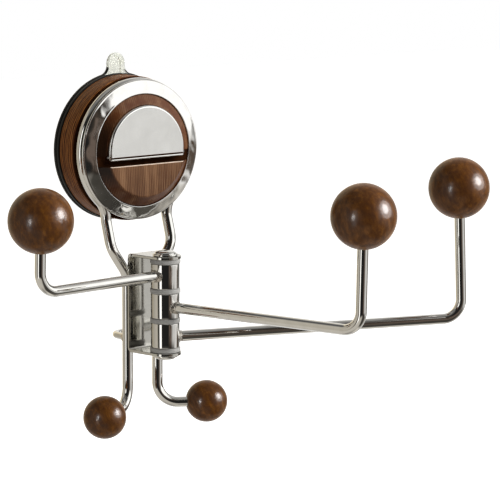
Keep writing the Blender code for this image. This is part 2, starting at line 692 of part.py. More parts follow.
def make_knob(parent):
    """Knob cap: a cone with a half-round seat above and a raised half below a groove."""
    cone_back = KNOB_BACK + KNOB_FLANGE_THICKNESS + KNOB_COLLAR_HEIGHT
    flange_front = KNOB_BACK + KNOB_FLANGE_THICKNESS
    bore = NUT_RADIUS + SLIDE_GAP
    profile = [
        (0.0, KNOB_FRONT_DEPTH),
        (KNOB_FACE_RADIUS, KNOB_FRONT_DEPTH, KNOB_EDGE_RADIUS),
        (KNOB_COLLAR_RADIUS, cone_back),
        (KNOB_COLLAR_RADIUS, flange_front),
        (KNOB_FLANGE_RADIUS, flange_front),
        (KNOB_FLANGE_RADIUS, KNOB_BACK),
        (KNOB_HUB_RADIUS, KNOB_BACK),
        (KNOB_HUB_RADIUS, KNOB_BACK - KNOB_HUB_LENGTH),
        (bore, KNOB_BACK - KNOB_HUB_LENGTH),
        (bore, HUB_BORE_FRONT),
        (0.0, HUB_BORE_FRONT),
    ]
    knob = turned_piece("knob_cap", profile, False, "walnut_film", parent=parent,
                        place=facing_front())
    reach = KNOB_COLLAR_RADIUS + OVERRUN
    front = KNOB_FRONT_DEPTH + OVERRUN
    groove_front = KNOB_FRONT_DEPTH - GROOVE_DEPTH
    groove = box_cutter("knob_groove", (-reach, -GROOVE_BOTTOM_DROP, groove_front),
                        (reach, -GROOVE_TOP_DROP, front), parent=parent, place=facing_front())
    boolean(knob, groove, "DIFFERENCE")
    seat_outline = half_moon(GRIP_RADIUS + SEAT_GAP, HINGE_DROP + KNUCKLE_RADIUS)
    seat_thickness = front - SEAT_DEPTH
    seat = add_cutter("knob_seat", flat_mesh("knob_seat", seat_outline, seat_thickness),
                      parent, facing_front(SEAT_DEPTH + seat_thickness / 2))
    boolean(knob, seat, "DIFFERENCE")
    outer = knuckle_outer_end()
    pocket_radius = KNUCKLE_RADIUS + SEAT_GAP
    for side, name in ((-1, "left"), (1, "right")):
        middle = side * (outer - KNUCKLE_LENGTH / 2)
        half = KNUCKLE_LENGTH / 2 + SEAT_GAP
        pocket = turned_cutter(f"knuckle_pocket_{name}", rod_profile(pocket_radius, -half, half),
                               SMALL_TURN_STEPS, parent, along_x(middle, HINGE_DEPTH, HINGE_DROP))
        boolean(knob, pocket, "DIFFERENCE")
        reach = HINGE_PIN_REACH + SEAT_GAP + SEAT_GAP
        hole = turned_cutter(f"hinge_hole_{name}",
                             rod_profile(HINGE_PIN_RADIUS + BEARING_GAP, -reach, reach),
                             PIN_TURN_STEPS, parent,
                             along_x(side * (outer + SEAT_GAP), HINGE_DEPTH, HINGE_DROP))
        boolean(knob, hole, "DIFFERENCE")


def half_moon(radius, edge_drop):
    """Outline of a disc cut off below a straight edge."""
    start = -math.asin(edge_drop / radius)
    sweep = math.pi - start - start
    angles = [start + sweep * i / GRIP_ARC_STEPS for i in range(GRIP_ARC_STEPS + 1)]
    return [(radius * math.cos(a), radius * math.sin(a)) for a in angles]


def knuckle_outer_end():
    """Distance from the middle to a knuckle's outer end, just inside the grip's edge."""
    return math.sqrt(GRIP_RADIUS ** 2 - GRIP_EDGE_DROP ** 2) - SEAT_GAP


def make_grip(parent):
    """Polished half-moon grip with a bevelled rim and two hinge knuckles."""
    mesh = flat_mesh("half_moon_grip", half_moon(GRIP_RADIUS, GRIP_EDGE_DROP), GRIP_THICKNESS)
    back = HINGE_DEPTH - GRIP_BACK
    local = Matrix.Translation((0.0, back - GRIP_THICKNESS / 2, HINGE_DROP)) @ facing_front()
    grip = add_piece("half_moon_grip", mesh, "chrome", parent, local)
    front_edge(mesh)
    bevel = grip.modifiers.new("bevelled_rim", "BEVEL")
    bevel.width = GRIP_BEVEL
    bevel.segments = 1
    bevel.limit_method = "WEIGHT"
    outer = knuckle_outer_end()
    for side, name in ((-1, "left"), (1, "right")):
        middle = side * (outer - KNUCKLE_LENGTH / 2)
        half = KNUCKLE_LENGTH / 2
        place = along_x(middle, 0.0, 0.0)
        knuckle = turned_cutter(f"knuckle_{name}", rod_profile(KNUCKLE_RADIUS, -half, half),
                                SMALL_TURN_STEPS, parent, place)
        boolean(grip, knuckle, "UNION")
        hole = turned_cutter(f"knuckle_hole_{name}",
                             rod_profile(HINGE_PIN_RADIUS + BEARING_GAP, -half - half, half),
                             PIN_TURN_STEPS, parent,
                             along_x(side * outer, 0.0, 0.0) @ Matrix.Scale(side, 4, (0.0, 0.0, 1.0)))
        boolean(grip, hole, "DIFFERENCE")


def front_edge(mesh):
    """Weight the edges round the grip's front face, so that only they are bevelled."""
    work = bmesh.new()
    work.from_mesh(mesh)
    layer = work.edges.layers.float.new("bevel_weight_edge")
    half = GRIP_THICKNESS / 2
    for edge in work.edges:
        on_front = all(abs(vert.co.z - half) < GRIP_BEVEL / 2 for vert in edge.verts)
        if on_front and edge.calc_face_angle(0.0) > SHARP_ANGLE:
            edge[layer] = 1.0
    work.to_mesh(mesh)
    work.free()


def make_hinge_pins(parent):
    """Two stub pins between the grip's knuckles and the knob's wall."""
    outer = knuckle_outer_end()
    inner_reach = KNUCKLE_LENGTH - SEAT_GAP
    outer_reach = outer + SEAT_GAP + HINGE_PIN_REACH
    for side, name in ((-1, "left"), (1, "right")):
        low, high = sorted((side * (outer - inner_reach), side * outer_reach))
        turned_piece(f"hinge_pin_{name}", rod_profile(HINGE_PIN_RADIUS, low, high), False, "steel",
                     PIN_TURN_STEPS, parent, along_x(0.0, HINGE_DEPTH, HINGE_DROP))


def make_nut(parent):
    """Brass lift nut in the knob's hub; its coarse thread is left plain."""
    top = HUB_BORE_FRONT - SEAT_GAP
    profile = ring_profile(STUD_BORE_RADIUS, NUT_RADIUS, NUT_BACK, top)
    turned_piece("lift_nut", profile, True, "brass", SMALL_TURN_STEPS, parent, facing_front())


def make_thrust_washer():
    """Nylon washer between the lift nut and the drum's deck."""
    top = THRUST_WASHER_BACK + THRUST_WASHER_THICKNESS
    outer = STUD_BORE_RADIUS + THRUST_WASHER_WIDTH
    profile = ring_profile(STUD_BORE_RADIUS, outer, THRUST_WASHER_BACK, top)
    turned_piece("thrust_washer", profile, True, "nylon", SMALL_TURN_STEPS, place=facing_front())


def make_stud(parent):
    """Steel stud that draws the pad's centre, and the cross pin that keeps it from turning."""
    profile = [
        (0.0, STUD_FRONT),
        (STUD_RADIUS, STUD_FRONT),
        (STUD_RADIUS, STUD_FOOT_FRONT),
        (STUD_FOOT_RADIUS, STUD_FOOT_FRONT),
        (STUD_FOOT_RADIUS, STUD_FOOT_BACK),
        (0.0, STUD_FOOT_BACK),
    ]
    stud = turned_piece("pull_stud", profile, False, "steel", SMALL_TURN_STEPS, parent, facing_front())
    half = GUIDE_RADIUS - GUIDE_PIN_OVERHANG
    place = along_x(0.0, GUIDE_PIN_DEPTH, 0.0)
    hole = rod_profile(GUIDE_PIN_RADIUS + BEARING_GAP, -half, half)
    boolean(stud, turned_cutter("guide_pin_hole", hole, PIN_TURN_STEPS, parent, place), "DIFFERENCE")
    turned_piece("guide_pin", rod_profile(GUIDE_PIN_RADIUS, -half, half), False, "steel",
                 PIN_TURN_STEPS, parent, place)


def make_spring():
    """Return spring round the guide tube, between the drum's deck and the stud's foot."""
    flat = math.cos(math.pi / SPRING_STEPS_PER_TURN)
    radius = (GUIDE_RADIUS + SEAT_GAP + SPRING_WIRE_RADIUS) / flat
    low = STUD_FOOT_FRONT + SEAT_GAP + SPRING_WIRE_RADIUS
    high = DECK_BACK - SEAT_GAP - SPRING_WIRE_RADIUS
    count = SPRING_TURNS * SPRING_STEPS_PER_TURN
    points = []
    for i in range(count + 1):
        share = i / count
        angle = math.tau * SPRING_TURNS * share
        depth = low + (high - low) * share
        points.append(Vector((radius * math.cos(angle), -depth, radius * math.sin(angle))))
    wire_piece("return_spring", points, SPRING_WIRE_RADIUS, "steel", SPRING_BEVEL_RESOLUTION)


def frame_path():
    """Centreline of the wire frame, from the left foot over the loop to the right foot."""
    leave = math.radians(NECK_LEAVE_DEG)
    start_x = LOOP_RADIUS * math.sin(leave)
    start_z = -LOOP_RADIUS * math.cos(leave)
    run = (start_x - NECK_HALF_WIDTH) / math.cos(leave)
    neck_z = start_z - run * math.sin(leave)
    lean_z = neck_z - NECK_BEND_RADIUS * math.tan(leave / 2) - NECK_LEAN_GAP
    heading = foot_heading()
    end = Vector((FOOT_HALF_SPREAD, -FOOT_DEPTH, -FOOT_DROP)) - heading * BALL_SOCKET_SHORTFALL
    right = bent_path([
        ((start_x, -LOOP_DEPTH, start_z), 0.0),
        ((NECK_HALF_WIDTH, -LOOP_DEPTH, neck_z), NECK_BEND_RADIUS),
        ((NECK_HALF_WIDTH, -LOOP_DEPTH, lean_z), NECK_LEAN_RADIUS),
        ((NECK_HALF_WIDTH, -NECK_BOTTOM_DEPTH, -NECK_BOTTOM_DROP), SWEEP_BEND_RADIUS),
        ((LEG_HALF_WIDTH, -LEG_DEPTH, -LEG_TOP_DROP), SWEEP_BEND_RADIUS),
        ((LEG_HALF_WIDTH, -LEG_DEPTH, -FOOT_DROP), FOOT_BEND_RADIUS),
        (end, 0.0),
    ])
    left = [Vector((-p.x, p.y, p.z)) for p in reversed(right)]
    sweep = math.tau - leave - leave
    loop = []
    for i in range(1, LOOP_STEPS):
        angle = leave + sweep * i / LOOP_STEPS
        x = -LOOP_RADIUS * math.sin(angle)
        loop.append(Vector((x, -LOOP_DEPTH, -LOOP_RADIUS * math.cos(angle))))
    return left + loop + right


def foot_heading():
    """Direction in which the right-hand foot points into its ball."""
    return Vector((FOOT_HALF_SPREAD - LEG_HALF_WIDTH, LEG_DEPTH - FOOT_DEPTH, 0.0)).normalized()


def make_frame():
    """One bent wire: loop round the drum, two necks, two legs and two feet."""
    wire_piece("wire_frame", frame_path(), WIRE_RADIUS, "chrome")


def make_standoff():
    """U-shaped wire welded to the back of the legs."""
    weld_depth = LEG_DEPTH - WIRE_RADIUS - SEAT_GAP
    points = bent_path([
        ((-LEG_HALF_WIDTH, -weld_depth, -STANDOFF_DROP), 0.0),
        ((-LEG_HALF_WIDTH, -STANDOFF_DEPTH, -STANDOFF_DROP), STANDOFF_BEND_RADIUS),
        ((LEG_HALF_WIDTH, -STANDOFF_DEPTH, -STANDOFF_DROP), STANDOFF_BEND_RADIUS),
        ((LEG_HALF_WIDTH, -weld_depth, -STANDOFF_DROP), 0.0),
    ])
    wire_piece("standoff_wire", points, STANDOFF_RADIUS, "chrome", THIN_WIRE_BEVEL_RESOLUTION)


def make_foot_ball(name, side):
    """Wooden ball on one foot, with a blind hole for the wire."""
    heading = foot_heading()
    heading.x *= side
    turn_to = Vector((0.0, 0.0, -1.0)).rotation_difference(heading).to_matrix().to_4x4()
    place = Matrix.Translation((side * FOOT_HALF_SPREAD, -FOOT_DEPTH, -FOOT_DROP)) @ turn_to
    mesh = ball_mesh(name, FOOT_BALL_RADIUS, SMALL_BALL_SEGMENTS, SMALL_BALL_RINGS)
    ball = add_piece(name, mesh, "walnut", place=place)
    bore = rod_profile(SOCKET_RADIUS, BALL_SOCKET_SHORTFALL - SEAT_GAP, FOOT_BALL_RADIUS + OVERRUN)
    cutter = turned_cutter(f"{name}_bore", bore, PIN_TURN_STEPS, place=place)
    boolean(ball, cutter, "DIFFERENCE")


def channel_section():
    """Side view of the bracket: two flanges joined by the back plate."""
    tip = PIVOT_DEPTH + FLANGE_RADIUS + OVERRUN
    outer = BRACKET_BEND_RADIUS + BRACKET_SHEET
    inner_top = BRACKET_TOP - BRACKET_SHEET
    inner_bottom = BRACKET_BOTTOM + BRACKET_SHEET
    section = [
        (-BRACKET_BACK, BRACKET_TOP, outer),
        (-tip, BRACKET_TOP),
        (-tip, inner_top),
        (-BRACKET_FACE, inner_top, BRACKET_BEND_RADIUS),
        (-BRACKET_FACE, inner_bottom, BRACKET_BEND_RADIUS),
        (-tip, inner_bottom),
        (-tip, BRACKET_BOTTOM),
        (-BRACKET_BACK, BRACKET_BOTTOM, outer),
    ]
    return filleted(section)


def flange_outline():
    """Top view of the bracket: a wide back that tapers to a round end at the pivot."""
    half = BRACKET_WIDTH / 2
    shoulder = Vector((half, -BRACKET_BACK - BRACKET_STRAIGHT))
    centre = Vector((0.0, -PIVOT_DEPTH))
    away = shoulder - centre
    bearing = math.atan2(away.y, away.x)
    tangent = bearing - math.acos(FLANGE_RADIUS / away.length)
    sweep = math.pi + tangent + tangent
    points = [(half, -BRACKET_BACK + OVERRUN), (half, shoulder.y)]
    for i in range(FLANGE_ARC_STEPS + 1):
        angle = tangent - sweep * i / FLANGE_ARC_STEPS
        points.append((FLANGE_RADIUS * math.cos(angle), centre.y + FLANGE_RADIUS * math.sin(angle)))
    points += [(-half, shoulder.y), (-half, -BRACKET_BACK + OVERRUN)]
    return points


def make_bracket():
    """Bent sheet bracket with a hole in each flange for the pivot bolt."""
    upright = Matrix.Rotation(QUARTER_TURN, 4, "Z") @ Matrix.Rotation(QUARTER_TURN, 4, "X")
    mesh = flat_mesh("pivot_bracket", channel_section(), BRACKET_WIDTH + OVERRUN)
    mesh.transform(upright)
    bracket = add_piece("pivot_bracket", mesh, "steel")
    height = BRACKET_TOP - BRACKET_BOTTOM
    plan = flat_mesh("bracket_plan", flange_outline(), height + OVERRUN)
    middle = Matrix.Translation((0.0, 0.0, (BRACKET_TOP + BRACKET_BOTTOM) / 2))
    boolean(bracket, add_cutter("bracket_plan", plan, place=middle), "INTERSECT")
    hole = rod_profile(PIN_RADIUS + SLIDE_GAP, BRACKET_BOTTOM - OVERRUN, BRACKET_TOP + OVERRUN)
    cutter = turned_cutter("bracket_hole", hole, place=Matrix.Translation((0.0, -PIVOT_DEPTH, 0.0)))
    boolean(bracket, cutter, "DIFFERENCE")


def domed_head(radius, base, direction):
    """Outline of a domed head, from its crown to its flat side; direction is 1 up, -1 down."""
    dome = BOLT_HEAD_HEIGHT - BOLT_RIM_HEIGHT
    rim = base + direction * BOLT_RIM_HEIGHT
    points = dome_points(radius * BOLT_DOME_SHARE, rim, direction * dome)
    return points + [(radius, rim), (radius, base)]


def make_bolt():
    """Pivot bolt and the domed nut below the bracket."""
    place = Matrix.Translation((0.0, -PIVOT_DEPTH, 0.0))
    seat = BRACKET_TOP + STACK_GAP
    nut_seat = BRACKET_BOTTOM - STACK_GAP
    tip = nut_seat - BOLT_HEAD_HEIGHT + NUT_SKIN + SEAT_GAP
    shank = [(PIN_RADIUS, seat), (PIN_RADIUS, tip), (0.0, tip)]
    bolt = domed_head(BOLT_HEAD_RADIUS, seat, 1) + shank
    turned_piece("pivot_bolt", bolt, False, "chrome", SMALL_TURN_STEPS, place=place)
    bore = PIN_RADIUS + SLIDE_GAP
    crown = domed_head(NUT_HEAD_RADIUS, nut_seat, -1)
    hollow = [(0.0, tip - SEAT_GAP), (bore, tip - SEAT_GAP), (bore, nut_seat)]
    turned_piece("dome_nut", hollow + crown[::-1], False, "chrome", SMALL_TURN_STEPS, place=place)


def stack_level(index):
    """Height of the top of a washer, counted from the top."""
    return BRACKET_TOP - BRACKET_SHEET - STACK_GAP - STACK_STEP * index


def make_washers():
    """Four nylon washers between the bracket's flanges and the barrels."""
    place = Matrix.Translation((0.0, -PIVOT_DEPTH, 0.0))
    inner = PIN_RADIUS + WASHER_BORE_GAP
    for index in range(len(ARMS) + 1):
        top = stack_level(index)
        profile = ring_profile(inner, BARREL_RADIUS + WASHER_MARGIN, top - WASHER_THICKNESS, top)
        turned_piece(f"nylon_washer_{index + 1}", profile, True, "nylon", SMALL_TURN_STEPS,
                     place=place)


def make_barrel(name, parent, offset):
    """Barrel that turns on the pivot bolt, with a socket for its rod."""
    half = BARREL_HEIGHT / 2
    edge = BARREL_RADIUS - BARREL_EDGE
    bore = PIN_RADIUS + BEARING_GAP
    profile = [
        (edge, half),
        (BARREL_RADIUS, half - BARREL_EDGE),
        (BARREL_RADIUS, -half + BARREL_EDGE),
        (edge, -half),
        (bore, -half),
        (bore, half),
    ]
    barrel = turned_piece(name, profile, True, "chrome", BARREL_TURN_STEPS, parent)
    socket = rod_profile(SOCKET_RADIUS, BARREL_RADIUS - ROD_SOCKET_DEPTH, BARREL_RADIUS + OVERRUN)
    place = along_x(0.0, 0.0, -offset)
    cutter = turned_cutter(f"{name}_socket", socket, SMALL_TURN_STEPS, parent, place)
    boolean(barrel, cutter, "DIFFERENCE")


def make_rod(name, parent, arm):
    """Rod that runs out level from its barrel and turns up into its ball."""
    foot = Vector((arm["reach"], 0.0, arm["offset"]))
    lean = math.radians(arm["lean"])
    rise = Vector((math.tan(lean), 0.0, 1.0)) * arm["stem"]
    ball = foot + rise
    start = (BARREL_RADIUS - ROD_SOCKET_DEPTH + SEAT_GAP, 0.0, arm["offset"])
    end = ball - rise.normalized() * BALL_SOCKET_SHORTFALL
    points = bent_path([(start, 0.0), (foot, ARM_BEND_RADIUS), (end, 0.0)])
    wire_piece(name, points, WIRE_RADIUS, "chrome", parent=parent)
    return ball, lean


def make_arm_ball(name, parent, centre, lean):
    """Wooden ball on the end of an arm, with a blind hole for the stem."""
    place = Matrix.Translation(centre) @ Matrix.Rotation(lean, 4, "Y")
    mesh = ball_mesh(name, ARM_BALL_RADIUS, BALL_SEGMENTS, BALL_RINGS)
    ball = add_piece(name, mesh, "walnut", parent, place)
    bore = rod_profile(SOCKET_RADIUS, -ARM_BALL_RADIUS - OVERRUN, -BALL_SOCKET_SHORTFALL + SEAT_GAP)
    boolean(ball, turned_cutter(f"{name}_bore", bore, PIN_TURN_STEPS, parent, place), "DIFFERENCE")


def make_arms():
    """Three swinging arms, each on an empty at its place on the pivot axis."""
    for index, (name, arm) in enumerate(ARMS.items()):
        middle = stack_level(index) - WASHER_THICKNESS - STACK_GAP - BARREL_HEIGHT / 2
        pivot = Matrix.Translation((0.0, -PIVOT_DEPTH, middle))
        heading = Matrix.Rotation(-math.radians(arm["heading"]), 4, "Z")
        empty = add_empty(f"arm_{name}_pivot", pivot @ heading)
        make_barrel(f"barrel_{name}", empty, arm["offset"])
        ball, lean = make_rod(f"rod_{name}", empty, arm)
        make_arm_ball(f"ball_{name}", empty, ball, lean)


clear_scene()
RACK = new_collection("swivel_towel_rack")
CUTTERS = new_collection("cutters")
KNOB_AXIS = add_empty("knob_axis", Matrix.Identity(4))
GRIP_AXIS = add_empty("grip_axis", Matrix.Translation((0.0, -HINGE_DEPTH, -HINGE_DROP)))
STUD_AXIS = add_empty("stud_axis", Matrix.Identity(4))
make_pad()
make_backing()
make_drum()
make_screws()
make_thrust_washer()
make_bezel()
make_knob(KNOB_AXIS)
make_nut(KNOB_AXIS)
make_hinge_pins(KNOB_AXIS)
make_grip(GRIP_AXIS)
make_stud(STUD_AXIS)
make_spring()
make_frame()
make_standoff()
make_foot_ball("foot_ball_left", -1)
make_foot_ball("foot_ball_right", 1)
make_bracket()
make_bolt()
make_washers()
make_arms()
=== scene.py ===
"""Swivel towel rack: the looks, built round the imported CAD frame.

Sizes are in millimetres in the row's frame: X to the right, -Y to the front, Z up. A depth
counts from the wall to the front and a drop counts down. An object's mesh is put into metres
when the object is made.
"""
import math

import bmesh
import bpy
from mathutils import Matrix, Vector, noise


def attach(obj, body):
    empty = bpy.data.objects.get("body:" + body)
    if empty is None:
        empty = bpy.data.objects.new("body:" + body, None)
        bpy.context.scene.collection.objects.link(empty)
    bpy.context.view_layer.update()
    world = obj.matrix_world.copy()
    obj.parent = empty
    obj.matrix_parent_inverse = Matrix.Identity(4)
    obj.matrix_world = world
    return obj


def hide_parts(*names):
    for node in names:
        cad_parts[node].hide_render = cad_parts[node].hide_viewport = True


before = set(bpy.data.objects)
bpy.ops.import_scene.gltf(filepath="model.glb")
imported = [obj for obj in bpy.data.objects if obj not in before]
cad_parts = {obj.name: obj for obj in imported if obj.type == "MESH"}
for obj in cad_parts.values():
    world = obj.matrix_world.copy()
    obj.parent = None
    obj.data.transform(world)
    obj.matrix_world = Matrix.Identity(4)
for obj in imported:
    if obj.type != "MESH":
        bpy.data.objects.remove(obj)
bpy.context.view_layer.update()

MM = 0.001
QUARTER = math.pi / 2
UPWARDS = Vector((0.0, 0.0, 1.0))

# Lacquered pieces, which show the lamps' highlights; settle adds them
LACQUERED = []

# The lock. A profile holds (radius, depth) or (radius, depth, fillet) points
PAD_RADIUS = 41.5
PAD_THICKNESS = 2.2
PAD_EDGE = 0.7
PAD_COLLAR = [(8.6, 2.1), (8.6, 6.5, 0.3), (10.8, 6.5, 0.3), (10.8, 2.1)]
# Width of the clear pad's rim that is painted black as shade
PAINTED_RIM_WIDTH = 1.0
TAB_HALF = 5.8
TAB_TIP = 52.4
TAB_FILLET = 5.0
TAB_LIP = [(2.6, 41.2), (2.6, 44.5), (2.5, 47.2), (1.9, 49.0), (0.6, 50.2), (-1.2, 50.6)]
LIP_RADIUS = 0.35
BACKING_PROFILE = [
    (37.6, 6.0, 0.3), (37.6, 4.2), (41.0, 4.2, 0.5), (41.0, 2.25, 0.3), (11.1, 2.25, 0.2),
    (11.1, 6.0, 0.2),
]
SCREW_CIRCLE = 33.0
SCREW_HOLE = [(0.0, 8.0), (1.4, 8.0), (1.4, 4.2), (2.7, 4.2), (2.7, 0.5), (0.0, 0.5)]
DRUM_RADIUS = 40.4
BOSS_RADIUS = 33.4
BOSS_FRONT = 24.0
SHOULDER = 17.7
DRUM_PROFILE = [
    (BOSS_RADIUS, BOSS_FRONT, 0.25), (BOSS_RADIUS, SHOULDER, 0.5), (DRUM_RADIUS, SHOULDER, 1.0),
    (DRUM_RADIUS, 4.5, 0.5), (37.9, 4.5, 0.2), (37.9, 15.2, 0.4), (30.9, 15.2, 0.4),
    (30.9, 18.5, 0.4), (5.8, 18.5, 0.3), (5.8, 10.5, 0.2), (3.2, 10.5), (3.2, 20.7),
    (27.0, 20.7, 0.4), (27.0, BOSS_FRONT, 0.25),
]
BEZEL_RADIUS = 39.0
BEZEL_INNER = 31.35
BEZEL_BORE = 33.35
BEZEL_BACK = 24.3
BEZEL_STEP = 26.0
BEZEL_HIGH = 27.75
BEZEL_LOW = 25.35
BEZEL_CROWN = 0.12
KNOB_BACK = 24.3
KNOB_FRONT = 31.9
KNOB_FACE = 25.5
KNOB_PROFILE = [
    (0.0, KNOB_FRONT), (KNOB_FACE, KNOB_FRONT, 1.2), (31.05, 27.2, 0.35), (31.05, 25.7), (33.05, 25.7),
    (33.05, KNOB_BACK), (12.0, KNOB_BACK), (12.0, 21.9), (5.8, 21.9), (5.8, 25.6), (0.0, 25.6),
]
GROOVE_TOP = -1.4
GROOVE_LEVELS = [(-7.4, 27.0), (-7.4, 31.4), (-8.2, 32.4)]
GRIP_RADIUS = 25.3
GRIP_BACK = 29.4
GRIP_EDGE = 3.7
EDGE_ROUND = 1.2
SEAT_RADIUS = GRIP_RADIUS + 0.3
SEAT_PROFILE = [
    (0.0, 36.0), (34.0, 36.0), (34.0, 27.1), (31.3, 27.1), (SEAT_RADIUS, 29.7), (SEAT_RADIUS, 29.1),
    (0.0, 29.1),
]
BEAD_SPOTS = [(24.7, 0.25), (24.5, 0.45), (24.2, 0.56), (23.8, 0.6)]
HINGE_DEPTH = 29.9
HINGE_DROP = 2.2
KNUCKLE_MIDDLE = 24.73 - 2.75
KNUCKLE_PROFILE = [(0.0, 2.75), (1.5, 2.75, 0.25), (1.5, -2.75, 0.25), (0.0, -2.75)]
POCKET_PROFILE = [(0.0, 3.05), (1.8, 3.05), (1.8, -3.05), (0.0, -3.05)]

# Wire frame, stand-off and bracket
WIRE = 3.0
LOOP_RADIUS = 36.9
LOOP_DEPTH = 21.0
NECK_HALF = 20.76
NECK_DEPTH = 25.9
NECK_BOTTOM = 53.5
NECK_BEND = 14.0
NECK_STRAIGHT = 1.2
KNEE_BEND = 8.0
LEG_HALF = 10.26
LEG_DEPTH = 26.5
LEG_TOP = 69.3
FOOT_DROP = 144.75
FOOT_HALF = 35.14
FOOT_DEPTH = 39.63
FOOT_BEND = 12.0
FOOT_BALL = 11.9
STANDOFF = 2.0
STANDOFF_BEND = 5.0
STANDOFF_DROP = 105.0
STANDOFF_DEPTH = 11.9
STANDOFF_GAP = 2.9
BRACKET_BACK = 29.7
BRACKET_SHEET = 1.6
BRACKET_EDGE = 0.22
BRACKET_BEND = 1.0
BRACKET_HALF = 12.5
BRACKET_TOP = -56.3
BRACKET_BOTTOM = -112.0
FLANGE_RADIUS = 8.9

# Pivot stack and arms
PIVOT_DEPTH = 48.2
BOLT_TOP = -56.2
BOLT_RADIUS = 3.0
BOLT_LENGTH = 57.4
NUT_DROP = 112.1
BARREL_RADIUS = 8.0
BARREL_BORE = 3.06
BARREL_HEIGHT = 13.9
BARREL_GAP = 0.1
STACK_TOP = -58.0
STACK_STEP = 16.6
STACK_ROUND = 0.45
WASHER = 2.5
WASHER_RADIUS = 8.4
WASHER_BORE = 3.2
ARM_START = 6.1
ARM_BALL = 17.6
ARM_BEND = 11.0
SOCKET = 3.3
BALL_SHORT = 4.0

# Reach, stem, heading and lean in degrees, and rise of the rod above its barrel's middle
ARMS = {
    "upper": (88.9, 38.8, 174.4, -1.4, 0.3),
    "middle": (127.2, 61.6, 72.1, 1.0, -0.9),
    "lower": (179.9, 75.8, 18.1, -2.2, -1.5),
}


def at(x, depth, drop):
    """Shift to a place."""
    return Matrix.Translation((x, -depth, -drop))


def turned(angle, axis):
    """Turn about an axis, in radians."""
    return Matrix.Rotation(angle, 4, axis)


def facing(depth=0.0, drop=0.0):
    """Place of a piece whose own +Z points to the front."""
    return at(0.0, depth, drop) @ turned(QUARTER, "X")


def along_x(x, depth=0.0, drop=0.0):
    """Place of a piece whose own +Z points along +X."""
    return at(x, depth, drop) @ turned(QUARTER, "Y")


def pivot_place(height=0.0, heading=0.0):
    """Place on the pivot axis, turned to an arm's heading."""
    return at(0.0, PIVOT_DEPTH, -height) @ turned(-math.radians(heading), "Z")


def arc(start, sweep, steps):
    """Even steps from a start through a sweep, with both ends."""
    return [start + sweep * i / steps for i in range(steps + 1)]


def polar(radius, angle):
    """Point on a circle as (x, y)."""
    return radius * math.cos(angle), radius * math.sin(angle)


def new_object(name, work, place=None, angle=32.0):
    """Make an object from a bmesh in millimetres, smooth apart from its sharp edges."""
    bmesh.ops.remove_doubles(work, verts=work.verts, dist=0.0005)
    bmesh.ops.recalc_face_normals(work, faces=work.faces)
    place = place or Matrix.Identity(4)
    mesh = bpy.data.meshes.new(name)
    work.to_mesh(mesh)
    work.free()
    mesh.transform(Matrix.Scale(MM, 4) @ place.to_3x3().to_4x4())
    shade(mesh, angle)
    obj = bpy.data.objects.new(name, mesh)
    bpy.context.scene.collection.objects.link(obj)
    obj.matrix_world = Matrix.Translation(place.to_translation() * MM)
    return obj


def shade(mesh, angle):
    """Shade a mesh smooth, with the edges steeper than an angle left sharp."""
    mesh.shade_smooth()
    mesh.set_sharp_from_angle(angle=math.radians(angle))


def bake(obj, angle=32.0):
    """Replace an object's mesh with the result of its modifiers."""
    graph = bpy.context.evaluated_depsgraph_get()
    made = bpy.data.meshes.new_from_object(obj.evaluated_get(graph))
    plain = obj.data
    obj.modifiers.clear()
    obj.data = made
    bpy.data.meshes.remove(plain)
    shade(made, angle)


def boolean(obj, other, operation="DIFFERENCE"):
    """Cut an object with another one, or keep what they share; the other one is removed."""
    modifier = obj.modifiers.new(operation.lower(), "BOOLEAN")
    modifier.operation = operation
    modifier.solver = "EXACT"
    modifier.object = other
    bpy.context.view_layer.update()
    bake(obj)
    bpy.data.objects.remove(other)


def settle(obj, body, slot, material, *nodes):
    """Finish a piece: its body, material and the CAD nodes that it stands for; the slot only says whether
    it is lacquered.
    """
    obj.data.materials.clear()
    obj.data.materials.append(material)
    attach(obj, body)
    if nodes:
        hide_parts(*nodes)
    if slot == "walnut":
        LACQUERED.append(obj)
    return obj


def paint(obj, material, chosen, depth=0.0, drop=0.0):
    """Give another material to the faces that a test of (x, depth, z, normal) chooses.

    The last two arguments place the object's origin.
    """
    obj.data.materials.append(material)
    last = len(obj.data.materials) - 1
    for face in obj.data.polygons:
        x, y, z = (value / MM for value in face.center)
        if chosen(x, depth - y, z - drop, face.normal):
            face.material_index = last


def corner_arc(before, corner, after, radius, steps):
    """Points of the arc that replaces a corner between two straight runs."""
    inward = (before - corner).normalized()
    outward = (after - corner).normalized()
    half = inward.angle(outward) / 2
    bisector = (inward + outward).normalized()
    centre = corner + bisector * (radius / math.sin(half))
    start = corner + inward * (radius / math.tan(half)) - centre
    end = corner + outward * (radius / math.tan(half)) - centre
    axis = start.cross(end).normalized()
    return [centre + Matrix.Rotation(a, 3, axis) @ start for a in arc(0.0, start.angle(end), steps)]


def rounded(profile, closed=True):
    """Points of a profile with its fillets; the ends of an open one stay sharp."""
    steps = 5
    points = []
    count = len(profile)
    for i, entry in enumerate(profile):
        around = (profile[i - 1], entry, profile[(i + 1) % count])
        before, corner, after = (Vector((*p[:2], 0.0)) for p in around)
        if len(entry) < 3 or (not closed and i in (0, count - 1)):
            points.append(corner[:2])
        else:
            points += [p[:2] for p in corner_arc(before, corner, after, entry[2], steps)]
    return points


